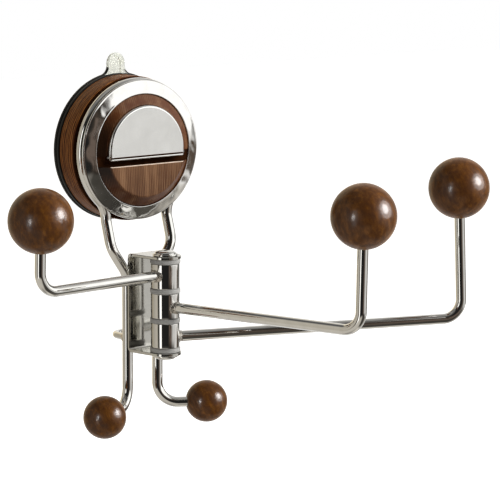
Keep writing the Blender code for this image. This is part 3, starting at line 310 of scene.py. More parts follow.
def lathe_into(work, profile, steps, closed, place=None):
    """Turn a profile of (radius, height) points about Z into a bmesh."""
    place = place or Matrix.Identity(4)
    rings = []
    for radius, height in profile:
        on_axis = radius < 0.0001
        angles = [0.0] if on_axis else arc(0.0, math.tau, steps)[:-1]
        reach = 0.0 if on_axis else radius
        rings.append([work.verts.new(place @ Vector((*polar(reach, a), height))) for a in angles])
    pairs = list(zip(rings, rings[1:]))
    if closed:
        pairs.append((rings[-1], rings[0]))
    for a, b in pairs:
        for i in range(steps):
            j = (i + 1) % steps
            if len(a) == 1 and len(b) == 1:
                continue
            if len(a) == 1:
                work.faces.new((a[0], b[i], b[j]))
            elif len(b) == 1:
                work.faces.new((a[i], b[0], a[j]))
            else:
                work.faces.new((a[i], b[i], b[j], a[j]))


def lathe(name, profile, place=None, steps=96, closed=True):
    """A turned piece."""
    work = bmesh.new()
    lathe_into(work, rounded(profile, closed), steps, closed)
    return new_object(name, work, place)


def tube_into(work, path, radii, sides):
    """Sweep a circle along a path into a bmesh, with closed ends."""
    count = len(path)
    tangents = []
    for i in range(count):
        ahead = path[min(i + 1, count - 1)] - path[max(i - 1, 0)]
        tangents.append(ahead.normalized())
    helper = UPWARDS if abs(tangents[0].z) < 0.9 else Vector((1.0, 0.0, 0.0))
    across = tangents[0].cross(helper).normalized()
    rings = []
    for centre, tangent, radius in zip(path, tangents, radii):
        across = (across - tangent * across.dot(tangent)).normalized()
        other = tangent.cross(across)
        ring = []
        for a in arc(0.0, math.tau, sides)[:-1]:
            out = across * math.cos(a) + other * math.sin(a)
            ring.append(work.verts.new(centre + out * radius))
        rings.append(ring)
    close_rings(work, rings)


def join_rings(work, rings, closed=True):
    """Join rings or open rows of points with faces."""
    count = len(rings[0])
    for a, b in zip(rings, rings[1:]):
        for i in range(count if closed else count - 1):
            j = (i + 1) % count
            work.faces.new((a[i], a[j], b[j], b[i]))


def close_rings(work, rings):
    """Join rings of points into a closed tube or plate."""
    join_rings(work, rings)
    work.faces.new(rings[0][::-1])
    work.faces.new(rings[-1])


def wire(name, path, radius, place=None):
    """A round wire along a path."""
    work = bmesh.new()
    tube_into(work, path, [radius] * len(path), 28)
    return new_object(name, work, place, 50.0)


def bent_path(corners):
    """Path through (point, radius) corners, with a point every four degrees of a bend."""
    spots = [Vector(place) for place, _ in corners]
    points = spots[:1]
    for (_, radius), before, corner, after in zip(corners[1:], spots, spots[1:], spots[2:]):
        sweep = math.degrees((corner - before).angle(after - corner))
        points += corner_arc(before, corner, after, radius, max(4, math.ceil(sweep / 4.0)))
    return points + spots[-1:]


# Nodes


def tree_of(name):
    """A new node material with its node tree and shader."""
    material = bpy.data.materials.new(name)
    material.use_nodes = True
    tree = material.node_tree
    return material, tree, tree.nodes["Principled BSDF"]


def node(tree, kind, **settings):
    """Add a shader node of a kind and set its properties."""
    made = tree.nodes.new("ShaderNode" + kind)
    for key, value in settings.items():
        setattr(made, key, value)
    return made


def feed(source, target):
    """Join a socket to another one, or set it to a value."""
    if isinstance(source, bpy.types.NodeSocket):
        target.id_data.links.new(source, target)
    else:
        target.default_value = source


def tune(made, **inputs):
    """Feed a node's inputs; an underscore stands for a space in a name."""
    for key, value in inputs.items():
        feed(value, made.inputs[key.replace("_", " ")])


def maths(tree, operation, *sources):
    """A maths node on sockets or numbers."""
    made = node(tree, "Math", operation=operation)
    for source, target in zip(sources, made.inputs):
        feed(source, target)
    return made.outputs[0]


def own_coords(tree, rotation=(0.0, 0.0, 0.0), scale=(1.0, 1.0, 1.0), shift=0.0):
    """The piece's own coordinates, shifted, turned and stretched."""
    moved = node(tree, "Mapping")
    tune(moved, Vector=node(tree, "TexCoord").outputs["Object"],
         Location=[shift, -shift, shift], Rotation=[math.radians(a) for a in rotation])
    stretched = node(tree, "Mapping")
    tune(stretched, Vector=moved.outputs["Vector"], Scale=scale)
    return stretched.outputs["Vector"]


def grains(tree, vector, size, detail=4.0, roughness=0.55, distortion=0.0):
    """Noise whose features are about a size in millimetres."""
    made = node(tree, "TexNoise")
    tune(made, Vector=vector, Scale=1.0 / (size * MM), Detail=detail, Roughness=roughness,
         Distortion=distortion)
    return made.outputs["Fac"]


def ramp(tree, factor, stops):
    """A colour ramp from (position, colour) stops."""
    made = node(tree, "ValToRGB")
    elements = made.color_ramp.elements
    while len(elements) > 1:
        elements.remove(elements[0])
    elements[0].position, elements[0].color = stops[0][0], (*stops[0][1], 1.0)
    for position, colour in stops[1:]:
        elements.new(position).color = (*colour, 1.0)
    tune(made, Fac=factor)
    return made.outputs["Color"]


def span(tree, value, low, high, to_low, to_high):
    """A value carried smoothly from one range to another."""
    made = node(tree, "MapRange", interpolation_type="SMOOTHSTEP")
    tune(made, Value=value, From_Min=low, From_Max=high, To_Min=to_low, To_Max=to_high)
    return made.outputs["Result"]


def window(tree, value, low, high, soft):
    """1 between two limits and 0 outside, with soft edges."""
    rise = span(tree, value, low - soft, low + soft, 0.0, 1.0)
    fall = span(tree, value, high - soft, high + soft, 1.0, 0.0)
    return maths(tree, "MULTIPLY", rise, fall)


def mix_colour(tree, factor, first, second):
    """Mix two colours."""
    made = node(tree, "Mix", data_type="RGBA")
    for source, place in zip((factor, first, second), (0, 6, 7)):
        feed(source, made.inputs[place])
    return made.outputs[2]


def mix_shaders(tree, factor, first, second):
    """Mix two shaders."""
    made = node(tree, "MixShader")
    for source, target in zip((factor, first, second), made.inputs):
        feed(source, target)
    return made.outputs[0]


def toned(tree, factor, colour, tone):
    """A colour that a factor makes a little darker or lighter."""
    light = tuple(min(1.0, c * (1 + tone)) for c in colour)
    dark = tuple(c * (1 - tone) for c in colour)
    return ramp(tree, factor, [(0.3, dark), (0.7, light)])


def bump(tree, height, distance):
    """Normal of a surface raised by a height map; distance is in millimetres."""
    made = node(tree, "Bump")
    tune(made, Distance=distance * MM, Height=height)
    return made.outputs["Normal"]


# Materials

BALL_TONES = [(0.039, 0.012, 0.0012), (0.057, 0.018, 0.0018), (0.085, 0.029, 0.003), (0.138, 0.05, 0.006)]
DRUM_TONES = [(0.022, 0.0045, 0.0005), (0.076, 0.018, 0.0025), (0.15, 0.043, 0.007), (0.3, 0.118, 0.03)]
KNOB_TONES = [(0.037, 0.013, 0.005), (0.096, 0.042, 0.018), (0.147, 0.073, 0.034), (0.2, 0.109, 0.056)]
KNOB_RED = (0.066, 0.017, 0.004, 1.0)
# Near-black brown of the painted shade on the knob cone's left side
KNOB_PAINTED_SHADE = (0.008, 0.003, 0.001, 1.0)
SHEEN_TINT = (1.0, 0.52, 0.18, 1.0)


def metal(name, colour, roughness, wave_size, wave_height, tone=0.06, scratch=0.0004, haze=1.6, detail=2.0):
    """Plated or bare metal: slow waves from polishing, soft wear marks and fine scratches."""
    material, tree, shader = tree_of(name)
    plain = own_coords(tree)
    stretched = own_coords(tree, (25.0, 35.0, 15.0), (1.0, 1.0, 0.08))
    wear = grains(tree, plain, 9.0, 5.0, 0.6, 0.4)
    fine = grains(tree, stretched, 0.45, 3.0, 0.7)
    waves = grains(tree, plain, wave_size, detail, 0.45, 0.2)
    height = maths(tree, "MULTIPLY_ADD", fine, scratch / wave_height, waves)
    tune(shader, Metallic=1.0, Base_Color=toned(tree, wear, colour, tone),
         Roughness=span(tree, wear, 0.35, 0.75, roughness * 0.75, roughness * haze),
         Normal=bump(tree, height, wave_height))
    return material


def wood(name, tones, rotation, line, stretch, gloss, lines=0.22, pores=0.35, swirl=1.2, shift=0.0,
         relief=0.05, coat=0.45, sheen=0.0, wrapped=False):
    """Lacquered wood: broad flowing bands, fine fibres and dark pores along the grain.

    The grain runs along Z, or on film that is wrapped round Y, round the piece.
    """
    material, tree, shader = tree_of(name)
    across = stretch if wrapped else 1.0
    along = own_coords(tree, rotation, (1.0, across, stretch), shift)
    bend = grains(tree, own_coords(tree, rotation, (1.0, 0.45, 0.45), shift), line * 14, 2.0, 0.5)
    bands = node(tree, "TexWave", wave_type="BANDS", bands_direction="X", wave_profile="SAW")
    tune(bands, Vector=along, Scale=0.32 / (line * MM), Distortion=7.0 * swirl, Detail=3.0,
         Detail_Scale=0.9, Detail_Roughness=0.62)
    broad = grains(tree, along, line * 4.5, 5.0, 0.6, swirl * 0.6)
    fine = own_coords(tree, rotation, (1.0, across ** 1.3, stretch * 0.45), shift)
    fibre = grains(tree, fine, line * 0.35, 4.0, 0.7)
    mixed = maths(tree, "MULTIPLY", broad, 0.62 - lines)
    for source, share in ((bands.outputs["Fac"], lines), (fibre, 0.24), (bend, 0.14)):
        mixed = maths(tree, "MULTIPLY_ADD", source, share, mixed)
    marks = span(tree, fibre, 0.60, 0.72, 0.0, pores * 0.5)
    tone = maths(tree, "SUBTRACT", mixed, marks)
    darkest, lightest = 0.38, 0.64
    stops = list(zip(arc(darkest, lightest - darkest, len(tones) - 1), tones))
    tune(shader, Base_Color=ramp(tree, tone, stops), Roughness=span(tree, broad, 0.3, 0.7, 0.55, 0.42),
         Specular_IOR_Level=0.05, Coat_Weight=coat, Coat_Roughness=gloss, Coat_IOR=1.5,
         Sheen_Weight=sheen, Sheen_Roughness=0.35, Sheen_Tint=SHEEN_TINT,
         Normal=bump(tree, tone, relief), Coat_Normal=bump(tree, tone, relief * 0.6))
    return material, tree, shader


def walnut(index):
    """Lacquered walnut of one ball, each from another part of the wood."""
    rotation = (8.0 * index, 12.0, 30.0 * index)
    return wood(f"walnut_ball_{index + 1}", BALL_TONES, rotation, 0.6, 0.4, 0.09, lines=0.05, pores=0.3,
                swirl=0.3, shift=0.3 * index, relief=0.10, coat=0.4, sheen=0.20)[0]


def drum_film():
    """Wood film of the drum, its grain wrapped round the drum's axis."""
    return wood("walnut_film_drum", DRUM_TONES, (0.0, 0.0, 90.0), 1.5, 0.14, 0.12, lines=0.42, swirl=1.3,
                coat=0.10, wrapped=True)[0]


def knob_film():
    """Wood film of the knob: straight grain, redder on the cone, and painted shade that darkens the cone's
    left side.
    """
    material, tree, shader = wood("walnut_film_knob", KNOB_TONES, (0.0, 3.0, 0.0), 1.2, 0.09, 0.09,
                                  lines=0.20, swirl=0.6)
    plain = shader.inputs["Base Color"].links[0].from_socket
    parts = node(tree, "SeparateXYZ")
    tune(parts, Vector=node(tree, "TexCoord").outputs["Object"])
    x, _, z = parts.outputs
    radius = maths(tree, "SQRT", maths(tree, "MULTIPLY_ADD", x, x, maths(tree, "MULTIPLY", z, z)))
    cone = span(tree, radius, 24.8 * MM, 26.8 * MM, 0.0, 1.0)
    patches = span(tree, grains(tree, own_coords(tree), 7.0, 3.0), 0.38, 0.62, 0.35, 0.85)
    redder = mix_colour(tree, maths(tree, "MULTIPLY", cone, patches), plain, KNOB_RED)
    # Painted shade: darkens the left of the cone, fading out further down
    side = maths(tree, "MULTIPLY_ADD", x, -0.92, maths(tree, "MULTIPLY", z, -0.40))
    shade_side = span(tree, side, 2.0 * MM, 22.0 * MM, 0.0, 0.95)
    shade_rise = span(tree, z, -21.0 * MM, -9.0 * MM, 0.25, 1.0)
    painted_shade = maths(tree, "MULTIPLY", cone, maths(tree, "MULTIPLY", shade_side, shade_rise))
    tune(shader, Base_Color=mix_colour(tree, painted_shade, redder, KNOB_PAINTED_SHADE))
    return material


def moulded(name, colour, roughness, size, height, tone=0.12, **inputs):
    """Moulded plastic or nylon: fine texture, soft mottling and a few dull spots."""
    material, tree, shader = tree_of(name)
    plain = own_coords(tree)
    mottle = grains(tree, plain, size * 8, 4.0, 0.6, 0.3)
    fine = grains(tree, plain, size, 3.0, 0.6)
    tune(shader, Base_Color=toned(tree, mottle, colour, tone), Normal=bump(tree, fine, height),
         Roughness=span(tree, mottle, 0.3, 0.75, roughness * 0.8, roughness * 1.3), **inputs)
    return material


def clear_rubber():
    """Clear flexible rubber: see-through, a little milky, with ripples and fine dust."""
    material, tree, shader = tree_of("clear_rubber_pad")
    plain = own_coords(tree)
    ripples = grains(tree, plain, 2.4, 4.0, 0.6, 0.8)
    dust = grains(tree, plain, 0.5, 3.0, 0.7)
    tone = ramp(tree, ripples, [(0.3, (0.72, 0.735, 0.65)), (0.7, (0.87, 0.875, 0.81))])
    height = maths(tree, "MULTIPLY_ADD", dust, 0.2, ripples)
    tune(shader, Base_Color=tone, Roughness=span(tree, dust, 0.3, 0.8, 0.08, 0.3),
         Transmission_Weight=0.7, IOR=1.33, Normal=bump(tree, height, 0.35))
    return material


CHROME = metal("chrome_polished", (0.80, 0.79, 0.76), 0.045, 16.0, 0.012)
CHROME_FACE = metal("chrome_pressed", (0.82, 0.81, 0.79), 0.055, 7.5, 0.5, haze=3.0, detail=0.4)
CHROME_PLATE = metal("chrome_plate", (0.96, 0.96, 0.94), 0.14, 18.0, 0.015, 0.03)
STEEL = metal("steel_polished", (0.66, 0.65, 0.61), 0.11, 14.0, 0.012)
STEEL_PLAIN = metal("steel_plain", (0.60, 0.59, 0.57), 0.25, 6.0, 0.01)
WELD = metal("weld_bead", (0.62, 0.58, 0.52), 0.13, 0.9, 0.12, 0.06, 0.2)
BRASS = metal("brass_turned", (0.70, 0.52, 0.25), 0.28, 5.0, 0.01)
WALNUTS = [walnut(i) for i in range(5)]
FILM_DRUM = drum_film()
FILM_KNOB = knob_film()
# Matt near-black film that paints shade: in the knob's groove, on the drum's shoulder and boss behind the
# bezel, and in the crease under the grip's bead
FILM_PAINTED_SHADE = moulded("walnut_film_painted_shade", (0.022, 0.008, 0.003), 0.6, 0.5, 0.02, 0.3,
                      Specular_IOR_Level=0.0)
# Pale film that paints a highlight along the flared lower edge of the knob's groove
FILM_PAINTED_HIGHLIGHT = moulded("walnut_film_painted_highlight", (0.58, 0.46, 0.37), 0.4, 0.5, 0.02, 0.2)
BLACK = moulded("black_plastic_moulded", (0.010, 0.010, 0.009), 0.36, 0.8, 0.004, 0.2,
                Specular_IOR_Level=0.25)
NYLON = moulded("nylon_grey", (0.28, 0.275, 0.262), 0.5, 0.6, 0.02)
RUBBER = clear_rubber()


# The lock on the wall


def pad_outline(inset):
    """Outline of the pad with its tab, moved in by an inset, as (x, z) points."""
    half = TAB_HALF - inset
    radius = PAD_RADIUS - inset
    fillet = TAB_FILLET + inset
    fillet_x = half + fillet
    fillet_z = math.sqrt((radius + fillet) ** 2 - fillet_x ** 2)
    lean = math.atan2(fillet_x, fillet_z)
    rim = [polar(radius, a)[::-1] for a in arc(lean, math.tau - 2 * lean, 150)]
    left = [(-fillet_x + fillet * math.sin(a), fillet_z - fillet * math.cos(a))
            for a in arc(lean, QUARTER - lean, 10)[1:]]
    middle = TAB_TIP - inset - half
    tip = [(half * math.cos(a), middle + half * math.sin(a)) for a in arc(math.pi, -math.pi, 16)]
    right = [(-x, z) for x, z in reversed(left)]
    return rim + left + tip + right


def stacked(work, outline, layers):
    """Join an outline, moved in and raised as each layer says, into a closed plate."""
    close_rings(work, [[work.verts.new((x, y, height)) for x, y in outline(inset)]
                       for inset, height in layers])


def pad_layers():
    """Layers of the pad, with rounded edges at its back and front."""
    turns = arc(0.0, QUARTER, 4)
    back = [(PAD_EDGE * (1 - math.sin(a)), PAD_EDGE * (1 - math.cos(a))) for a in turns]
    front = [(PAD_EDGE * (1 - math.cos(a)), PAD_THICKNESS - PAD_EDGE * (1 - math.sin(a))) for a in turns]
    return [(PAD_EDGE + 0.05, 0.0)] + back + front + [(PAD_EDGE + 0.05, PAD_THICKNESS)]


def on_painted_dark_rim(x, _depth, z, _normal):
    """Whether a face of the pad is on its rim that is painted black as shade, away from the tab and its
    fillets.
    """
    fillet_z = 44.6 if x < 0 else 42.6
    on_rim = math.hypot(x, z) > PAD_RADIUS - PAINTED_RIM_WIDTH
    on_fillet = abs(x) < TAB_HALF + 3.2 and z > fillet_z
    on_tab = abs(x) < TAB_HALF - 0.3 and z > 0
    return on_rim and not on_fillet and not on_tab


def make_pad():
    """Clear pad with its pull tab, the tab's raised lip and the collar for the stud's foot."""
    work = bmesh.new()
    stacked(work, pad_outline, pad_layers())
    lathe_into(work, rounded(PAD_COLLAR), 64, True)
    lip = [Vector((x, z, PAD_THICKNESS - 0.1)) for x, z in TAB_LIP]
    tube_into(work, lip, [LIP_RADIUS] * len(lip), 10)
    pad = settle(new_object("pad", work, facing()), "root", "clear_rubber", RUBBER, "suction_pad")
    # Painted shade: the clear pad's outer rim is painted black, so no light shows through its edge
    paint(pad, BLACK, on_painted_dark_rim)


def make_backing():
    """Black backing plate with a soft rim and three counterbored screw holes."""
    plate = lathe("backing", BACKING_PROFILE, facing(), 180)
    for bearing in arc(QUARTER, math.tau, 3)[:-1]:
        place = Matrix.Translation((*polar(SCREW_CIRCLE, bearing), 0.0))
        boolean(plate, lathe("hole", SCREW_HOLE, facing() @ place, 24, False))
    settle(plate, "root", "black_plastic", BLACK, "backing_plate")


def on_drum_front(x, depth, z, _normal):
    """Whether a face of the drum is on its shoulder or boss, where shade is painted."""
    return math.hypot(x, z) < DRUM_RADIUS - 0.15 and depth > 6.0


def make_drum():
    """Wood-film drum with its shoulder, boss, deck and guide tube."""
    drum = lathe("drum", DRUM_PROFILE, facing(), 200)
    settle(drum, "root", "walnut_film", FILM_DRUM, "drum_housing")
    # Painted shade on the shoulder and boss behind the bezel
    paint(drum, FILM_PAINTED_SHADE, on_drum_front)


def make_bezel():
    """Chrome ring: rolled inner edge, crowned sloping face, rolled outer edge and stepped back."""
    start = BEZEL_INNER + 0.35
    width = BEZEL_RADIUS - 0.75 - BEZEL_INNER - 0.35
    face = []
    for share in arc(0.0, 1.0, 12)[1:-1]:
        height = BEZEL_HIGH + (BEZEL_LOW - BEZEL_HIGH) * share + BEZEL_CROWN * math.sin(math.pi * share)
        face.append((start + width * share, height))
    inner = [(BEZEL_INNER + 0.4 * (1 - math.sin(a)), 27.4 + 0.42 * math.cos(a))
             for a in arc(QUARTER, -QUARTER, 5)]
    outer = [(BEZEL_RADIUS - 0.8 * (1 - math.sin(a)), 24.6 + 0.75 * math.cos(a))
             for a in arc(0.0, QUARTER, 8)]
    back = [(BEZEL_RADIUS, BEZEL_BACK + 0.15), (BEZEL_RADIUS - 0.15, BEZEL_BACK), (BEZEL_BORE, BEZEL_BACK),
            (BEZEL_BORE, BEZEL_STEP), (BEZEL_INNER, BEZEL_STEP)]
    work = bmesh.new()
    lathe_into(work, inner + face + outer + back, 240, True)
    ring = new_object("bezel", work, facing(), 40.0)
    settle(ring, "root", "chrome", CHROME_FACE, "bezel_ring")


def groove_cutter():
    """Cutter of the groove below the grip, wider at the front."""
    def outline(low):
        """Outline down to a level."""
        return [(-40.0, low), (40.0, low), (40.0, GROOVE_TOP), (-40.0, GROOVE_TOP)]

    work = bmesh.new()
    stacked(work, outline, GROOVE_LEVELS)
    return new_object("groove", work, facing())


def seat_cutter():
    """Cutter of the grip's seat: a turned recess that ends at the grip's straight edge."""
    seat = lathe("seat", SEAT_PROFILE, facing(), 220, False)
    work = bmesh.new()
    bmesh.ops.create_cube(work, size=1.0)
    bmesh.ops.scale(work, vec=(90.0, 60.0, 20.0), verts=work.verts)
    bmesh.ops.translate(work, vec=(0.0, 30.0 - GRIP_EDGE - 0.05, 31.0), verts=work.verts)
    boolean(seat, new_object("upper_half", work, facing()), "INTERSECT")
    return seat


def wear_edges(obj):
    """Round an object's edges a little and keep its flat faces flat."""
    edge = obj.modifiers.new("worn_edges", "BEVEL")
    edge.width = 0.45 * MM
    edge.segments = 2
    edge.limit_method = "ANGLE"
    edge.angle_limit = math.radians(50)
    edge.use_clamp_overlap = True
    bake(obj, 62.0)
    obj.modifiers.new("flat_faces", "WEIGHTED_NORMAL").keep_sharp = True


def in_groove(_x, depth, z, _normal):
    """Whether a face of the knob is inside its groove, where shade is painted."""
    return -7.45 < z < -1.2 and 26.5 < depth < 31.2


def on_groove_edge(_x, depth, z, normal):
    """Whether a face of the knob is on the groove's flared lower edge, which gets a painted highlight."""
    return -8.0 < z < -7.38 and depth > 31.2 and normal.z > 0.2


def make_knob():
    """Knob cap: cone, seat for the grip, groove and the raised half below it."""
    knob = lathe("knob", KNOB_PROFILE, facing(), 220, False)
    boolean(knob, groove_cutter())
    boolean(knob, seat_cutter())
    for side in (-1, 1):
        place = along_x(side * KNUCKLE_MIDDLE, HINGE_DEPTH, HINGE_DROP)
        boolean(knob, lathe("pocket", POCKET_PROFILE, place, 32, False))
    wear_edges(knob)
    settle(knob, "knob", "walnut_film", FILM_KNOB, "knob_cap")
    # Painted shade inside the groove
    paint(knob, FILM_PAINTED_SHADE, in_groove)
    # Painted highlight along the groove's lower edge
    paint(knob, FILM_PAINTED_HIGHLIGHT, on_groove_edge)


def grip_outline(inset):
    """Outline of the grip, moved in by an inset: a disc cut off below a straight edge."""
    radius, drop = GRIP_RADIUS - inset, GRIP_EDGE - inset * 1.25
    start = -math.asin(drop / radius)
    points = [polar(radius, a) for a in arc(start, math.pi - 2 * start, 84)]
    left, right = points[-1][0], points[0][0]
    return points + [(x, -drop) for x in arc(left, right - left, 16)[1:-1]]


def grip_layers():
    """Layers of the grip: a small round at its back, and a wide one round its face."""
    height = KNOB_FRONT - GRIP_BACK
    layers = [(0.35, 0.0), (0.3, 0.0), (0.09, 0.09), (0.0, 0.3)]
    for a in arc(0.0, QUARTER, 8):
        layers.append((EDGE_ROUND * (1 - math.cos(a)), height - EDGE_ROUND * (1 - math.sin(a))))
    return layers + [(EDGE_ROUND + 0.05, height), (EDGE_ROUND + 0.4, height)]


def under_bead(x, depth, z, normal):
    """Whether a face of the grip is in the painted shade line under its bead."""
    return depth > 31.2 and -3.3 < z < -2.3 and abs(x) < 24.0 and normal.z < -0.05


def make_grip():
    """Half-moon grip: flat face, rounded polished edge, bead below and two hinge knuckles."""
    work = bmesh.new()
    stacked(work, grip_outline, grip_layers())
    spots = [(-x, r) for x, r in BEAD_SPOTS] + BEAD_SPOTS[::-1]
    bead = [Vector((x, 0.1 - GRIP_EDGE, 1.9)) for x, _ in spots]
    tube_into(work, bead, [r for _, r in spots], 20)
    to_hinge = Matrix.Translation((0.0, HINGE_DROP, GRIP_BACK - HINGE_DEPTH))
    bmesh.ops.transform(work, matrix=to_hinge, verts=work.verts)
    for side in (-1, 1):
        lathe_into(work, rounded(KNUCKLE_PROFILE, False), 28, False, along_x(side * KNUCKLE_MIDDLE))
    grip = new_object("grip_plate", work, facing(HINGE_DEPTH, HINGE_DROP), 24.0)
    settle(grip, "grip", "chrome", CHROME_PLATE, "half_moon_grip")
    # Painted shade in the crease between the grip's face and its bead
    paint(grip, FILM_PAINTED_SHADE, under_bead, HINGE_DEPTH, HINGE_DROP)


# The wire frame and its pivot


def foot_heading():
    """Direction in which the right-hand foot points into its ball."""
    return Vector((FOOT_HALF - LEG_HALF, LEG_DEPTH - FOOT_DEPTH, 0.0)).normalized()


def frame_path():
    """Centreline of the wire frame, from the left foot over the loop to the right foot."""
    leave = math.radians(45.0)
    start = Vector((LOOP_RADIUS * math.sin(leave), -LOOP_DEPTH, -LOOP_RADIUS * math.cos(leave)))
    run = (start.x - NECK_HALF) / math.cos(leave)
    neck_z = start.z - run * math.sin(leave)
    lean_z = neck_z - NECK_BEND * math.tan(leave / 2) - NECK_STRAIGHT
    end = Vector((FOOT_HALF, -FOOT_DEPTH, -FOOT_DROP)) - foot_heading() * BALL_SHORT
    right = bent_path([
        (start, 0.0),
        ((NECK_HALF, -LOOP_DEPTH, neck_z), NECK_BEND),
        ((NECK_HALF, -LOOP_DEPTH, lean_z), KNEE_BEND),
        ((NECK_HALF, -NECK_DEPTH, -NECK_BOTTOM), NECK_BEND),
        ((LEG_HALF, -LEG_DEPTH, -LEG_TOP), NECK_BEND),
        ((LEG_HALF, -LEG_DEPTH, -FOOT_DROP), FOOT_BEND),
        (end, 0.0),
    ])
    left = [Vector((-p.x, p.y, p.z)) for p in reversed(right)]
    loop = [Vector((-LOOP_RADIUS * math.sin(a), -LOOP_DEPTH, -LOOP_RADIUS * math.cos(a)))
            for a in arc(leave, math.tau - 2 * leave, 120)[1:-1]]
    return left + loop + right


def weld_bead(name, place, inner, outer, height, seed, body):
    """Uneven fillet of weld metal round a wire, along the place's own +Z."""
    work = bmesh.new()
    fillet = [(outer + (inner - outer) * (1 - (1 - s) ** 2.2), height * s) for s in arc(0.0, 1.0, 8)]
    core = inner * 0.7
    lathe_into(work, [(core, -0.6), (outer, -0.6)] + fillet + [(core, height)], 40, True)
    for vert in work.verts:
        push = noise.noise(vert.co * 0.9 + Vector((seed, 0.0, 0.0)))
        flat = Vector((vert.co.x, vert.co.y, 0.0))
        if flat.length > inner * 0.95:
            vert.co += flat.normalized() * push * 0.3
    settle(new_object(name, work, place, 60.0), body, "chrome", WELD)


def make_frame():
    """The one-piece wire frame, the stand-off behind it and their welds."""
    settle(wire("frame_wire", frame_path(), WIRE), "root", "chrome", CHROME, "wire_frame")
    front = -LEG_DEPTH + STANDOFF_GAP
    path = bent_path([
        ((-LEG_HALF, front, -STANDOFF_DROP), 0.0),
        ((-LEG_HALF, -STANDOFF_DEPTH, -STANDOFF_DROP), STANDOFF_BEND),
        ((LEG_HALF, -STANDOFF_DEPTH, -STANDOFF_DROP), STANDOFF_BEND),
        ((LEG_HALF, front, -STANDOFF_DROP), 0.0),
    ])
    settle(wire("standoff", path, STANDOFF), "root", "chrome", CHROME, "standoff_wire")
    for side, name in ((-1, "left"), (1, "right")):
        back = at(side * LEG_HALF, LEG_DEPTH - 1.9, STANDOFF_DROP) @ turned(-QUARTER, "X")
        weld_bead(f"standoff_weld_{name}", back, STANDOFF, 3.0, 2.4, 3.0 + side, "root")


def make_ball(name, radius, place, body, node_name, finish):
    """Lacquered walnut ball with a chamfered blind hole towards its own +Z."""
    last = math.acos((SOCKET + 0.55) / radius)
    points = [polar(radius, a) for a in arc(-QUARTER, QUARTER + last, 44)]
    top, stop = points[-1][1], BALL_SHORT - 0.3
    points += [(SOCKET + 0.2, top + 0.02), (SOCKET, top - 0.3), (SOCKET, stop), (0.0, stop)]
    work = bmesh.new()
    lathe_into(work, points, 72, False)
    settle(new_object(name, work, place, 40.0), body, "walnut", finish, node_name)


def make_feet():
    """Balls on the two feet."""
    for side, name, finish in ((-1, "left", WALNUTS[3]), (1, "right", WALNUTS[4])):
        heading = foot_heading()
        heading.x *= side
        turn = UPWARDS.rotation_difference(-heading).to_matrix().to_4x4()
        place = at(side * FOOT_HALF, FOOT_DEPTH, FOOT_DROP) @ turn
        make_ball(f"foot_{name}", FOOT_BALL, place, "root", f"foot_ball_{name}", finish)


def flange_points():
    """Edge of a flange in plan as (x, y, outward normal), from +X round the tip to -X."""
    shoulder = Vector((BRACKET_HALF, -BRACKET_BACK - 3.5))
    centre = Vector((0.0, -PIVOT_DEPTH))
    away = shoulder - centre
    tangent = math.atan2(away.y, away.x) - math.acos(FLANGE_RADIUS / away.length)
    side = Vector(polar(1.0, tangent))
    right = Vector((1.0, 0.0))
    points = [(shoulder.x, -BRACKET_BACK - 2.6, right), (*shoulder, (right + side).normalized())]
    for a in arc(tangent, -math.pi - 2 * tangent, 40):
        out = Vector(polar(1.0, a))
        points.append((out.x * FLANGE_RADIUS, centre.y + out.y * FLANGE_RADIUS, out))
    return points + [(-x, y, Vector((-n.x, n.y))) for x, y, n in points[1::-1]]


def add_flange(work, level, inward):
    """One flange of the bracket; level is its outer face and inward points to the stack."""
    strips = []
    for share, inset in ((0.0, BRACKET_EDGE), (BRACKET_EDGE, 0.0), (BRACKET_SHEET - BRACKET_EDGE, 0.0),
                         (BRACKET_SHEET, BRACKET_EDGE)):
        z = level + inward * share
        strips.append([work.verts.new((x - n.x * inset, y - n.y * inset, z))
                       for x, y, n in flange_points()])
    join_rings(work, strips, False)
    work.faces.new(strips[0])
    work.faces.new(strips[3])


def sheet_section(work, outer, inner):
    """Eight corners of the sheet's cross-section between two (y, z) points."""
    step = (inner - outer).normalized() * BRACKET_EDGE
    near, far = outer + step, inner - step
    inset = BRACKET_HALF - BRACKET_EDGE
    raw = [(inset, *outer), (BRACKET_HALF, *near), (BRACKET_HALF, *far), (inset, *inner)]
    return [work.verts.new(p) for p in raw + [(-x, y, z) for x, y, z in reversed(raw)]]


def make_bracket():
    """Bent sheet bracket: back plate, two bends and two round-ended flanges."""
    work = bmesh.new()
    outer_bend = BRACKET_BEND + BRACKET_SHEET
    rows = []
    for level, sign in ((BRACKET_TOP, 1.0), (BRACKET_BOTTOM, -1.0)):
        centre = Vector((-BRACKET_BACK - outer_bend, level - sign * outer_bend))
        for a in arc(0.0, QUARTER, 8)[::int(sign)]:
            out = Vector((math.sin(a), sign * math.cos(a)))
            rows.append(sheet_section(work, centre + out * outer_bend, centre + out * BRACKET_BEND))
    join_rings(work, rows)
    add_flange(work, BRACKET_TOP, -1.0)
    add_flange(work, BRACKET_BOTTOM, 1.0)
    settle(new_object("bracket", work, None, 30.0), "root", "steel", STEEL, "pivot_bracket")


def make_head(name, radius, rest, place, node_name):
    """Bolt or nut: a domed head down to its flat side at height 0, and the rest below that."""
    height, rim = 3.0, 1.0
    dome = radius * 0.86
    points = [(dome * math.sin(a), rim + (height - rim) * math.cos(a)) for a in arc(0.0, QUARTER, 10)]
    points += [(dome + 0.15, rim - 0.02), (radius - 0.35, rim + 0.02), (radius - 0.1, rim - 0.12),
               (radius, rim - 0.35), (radius, 0.25), (radius - 0.2, 0.0)]
    work = bmesh.new()
    lathe_into(work, points + rest, 64, False)
    settle(new_object(name, work, place, 34.0), "root", "chrome", CHROME, node_name)


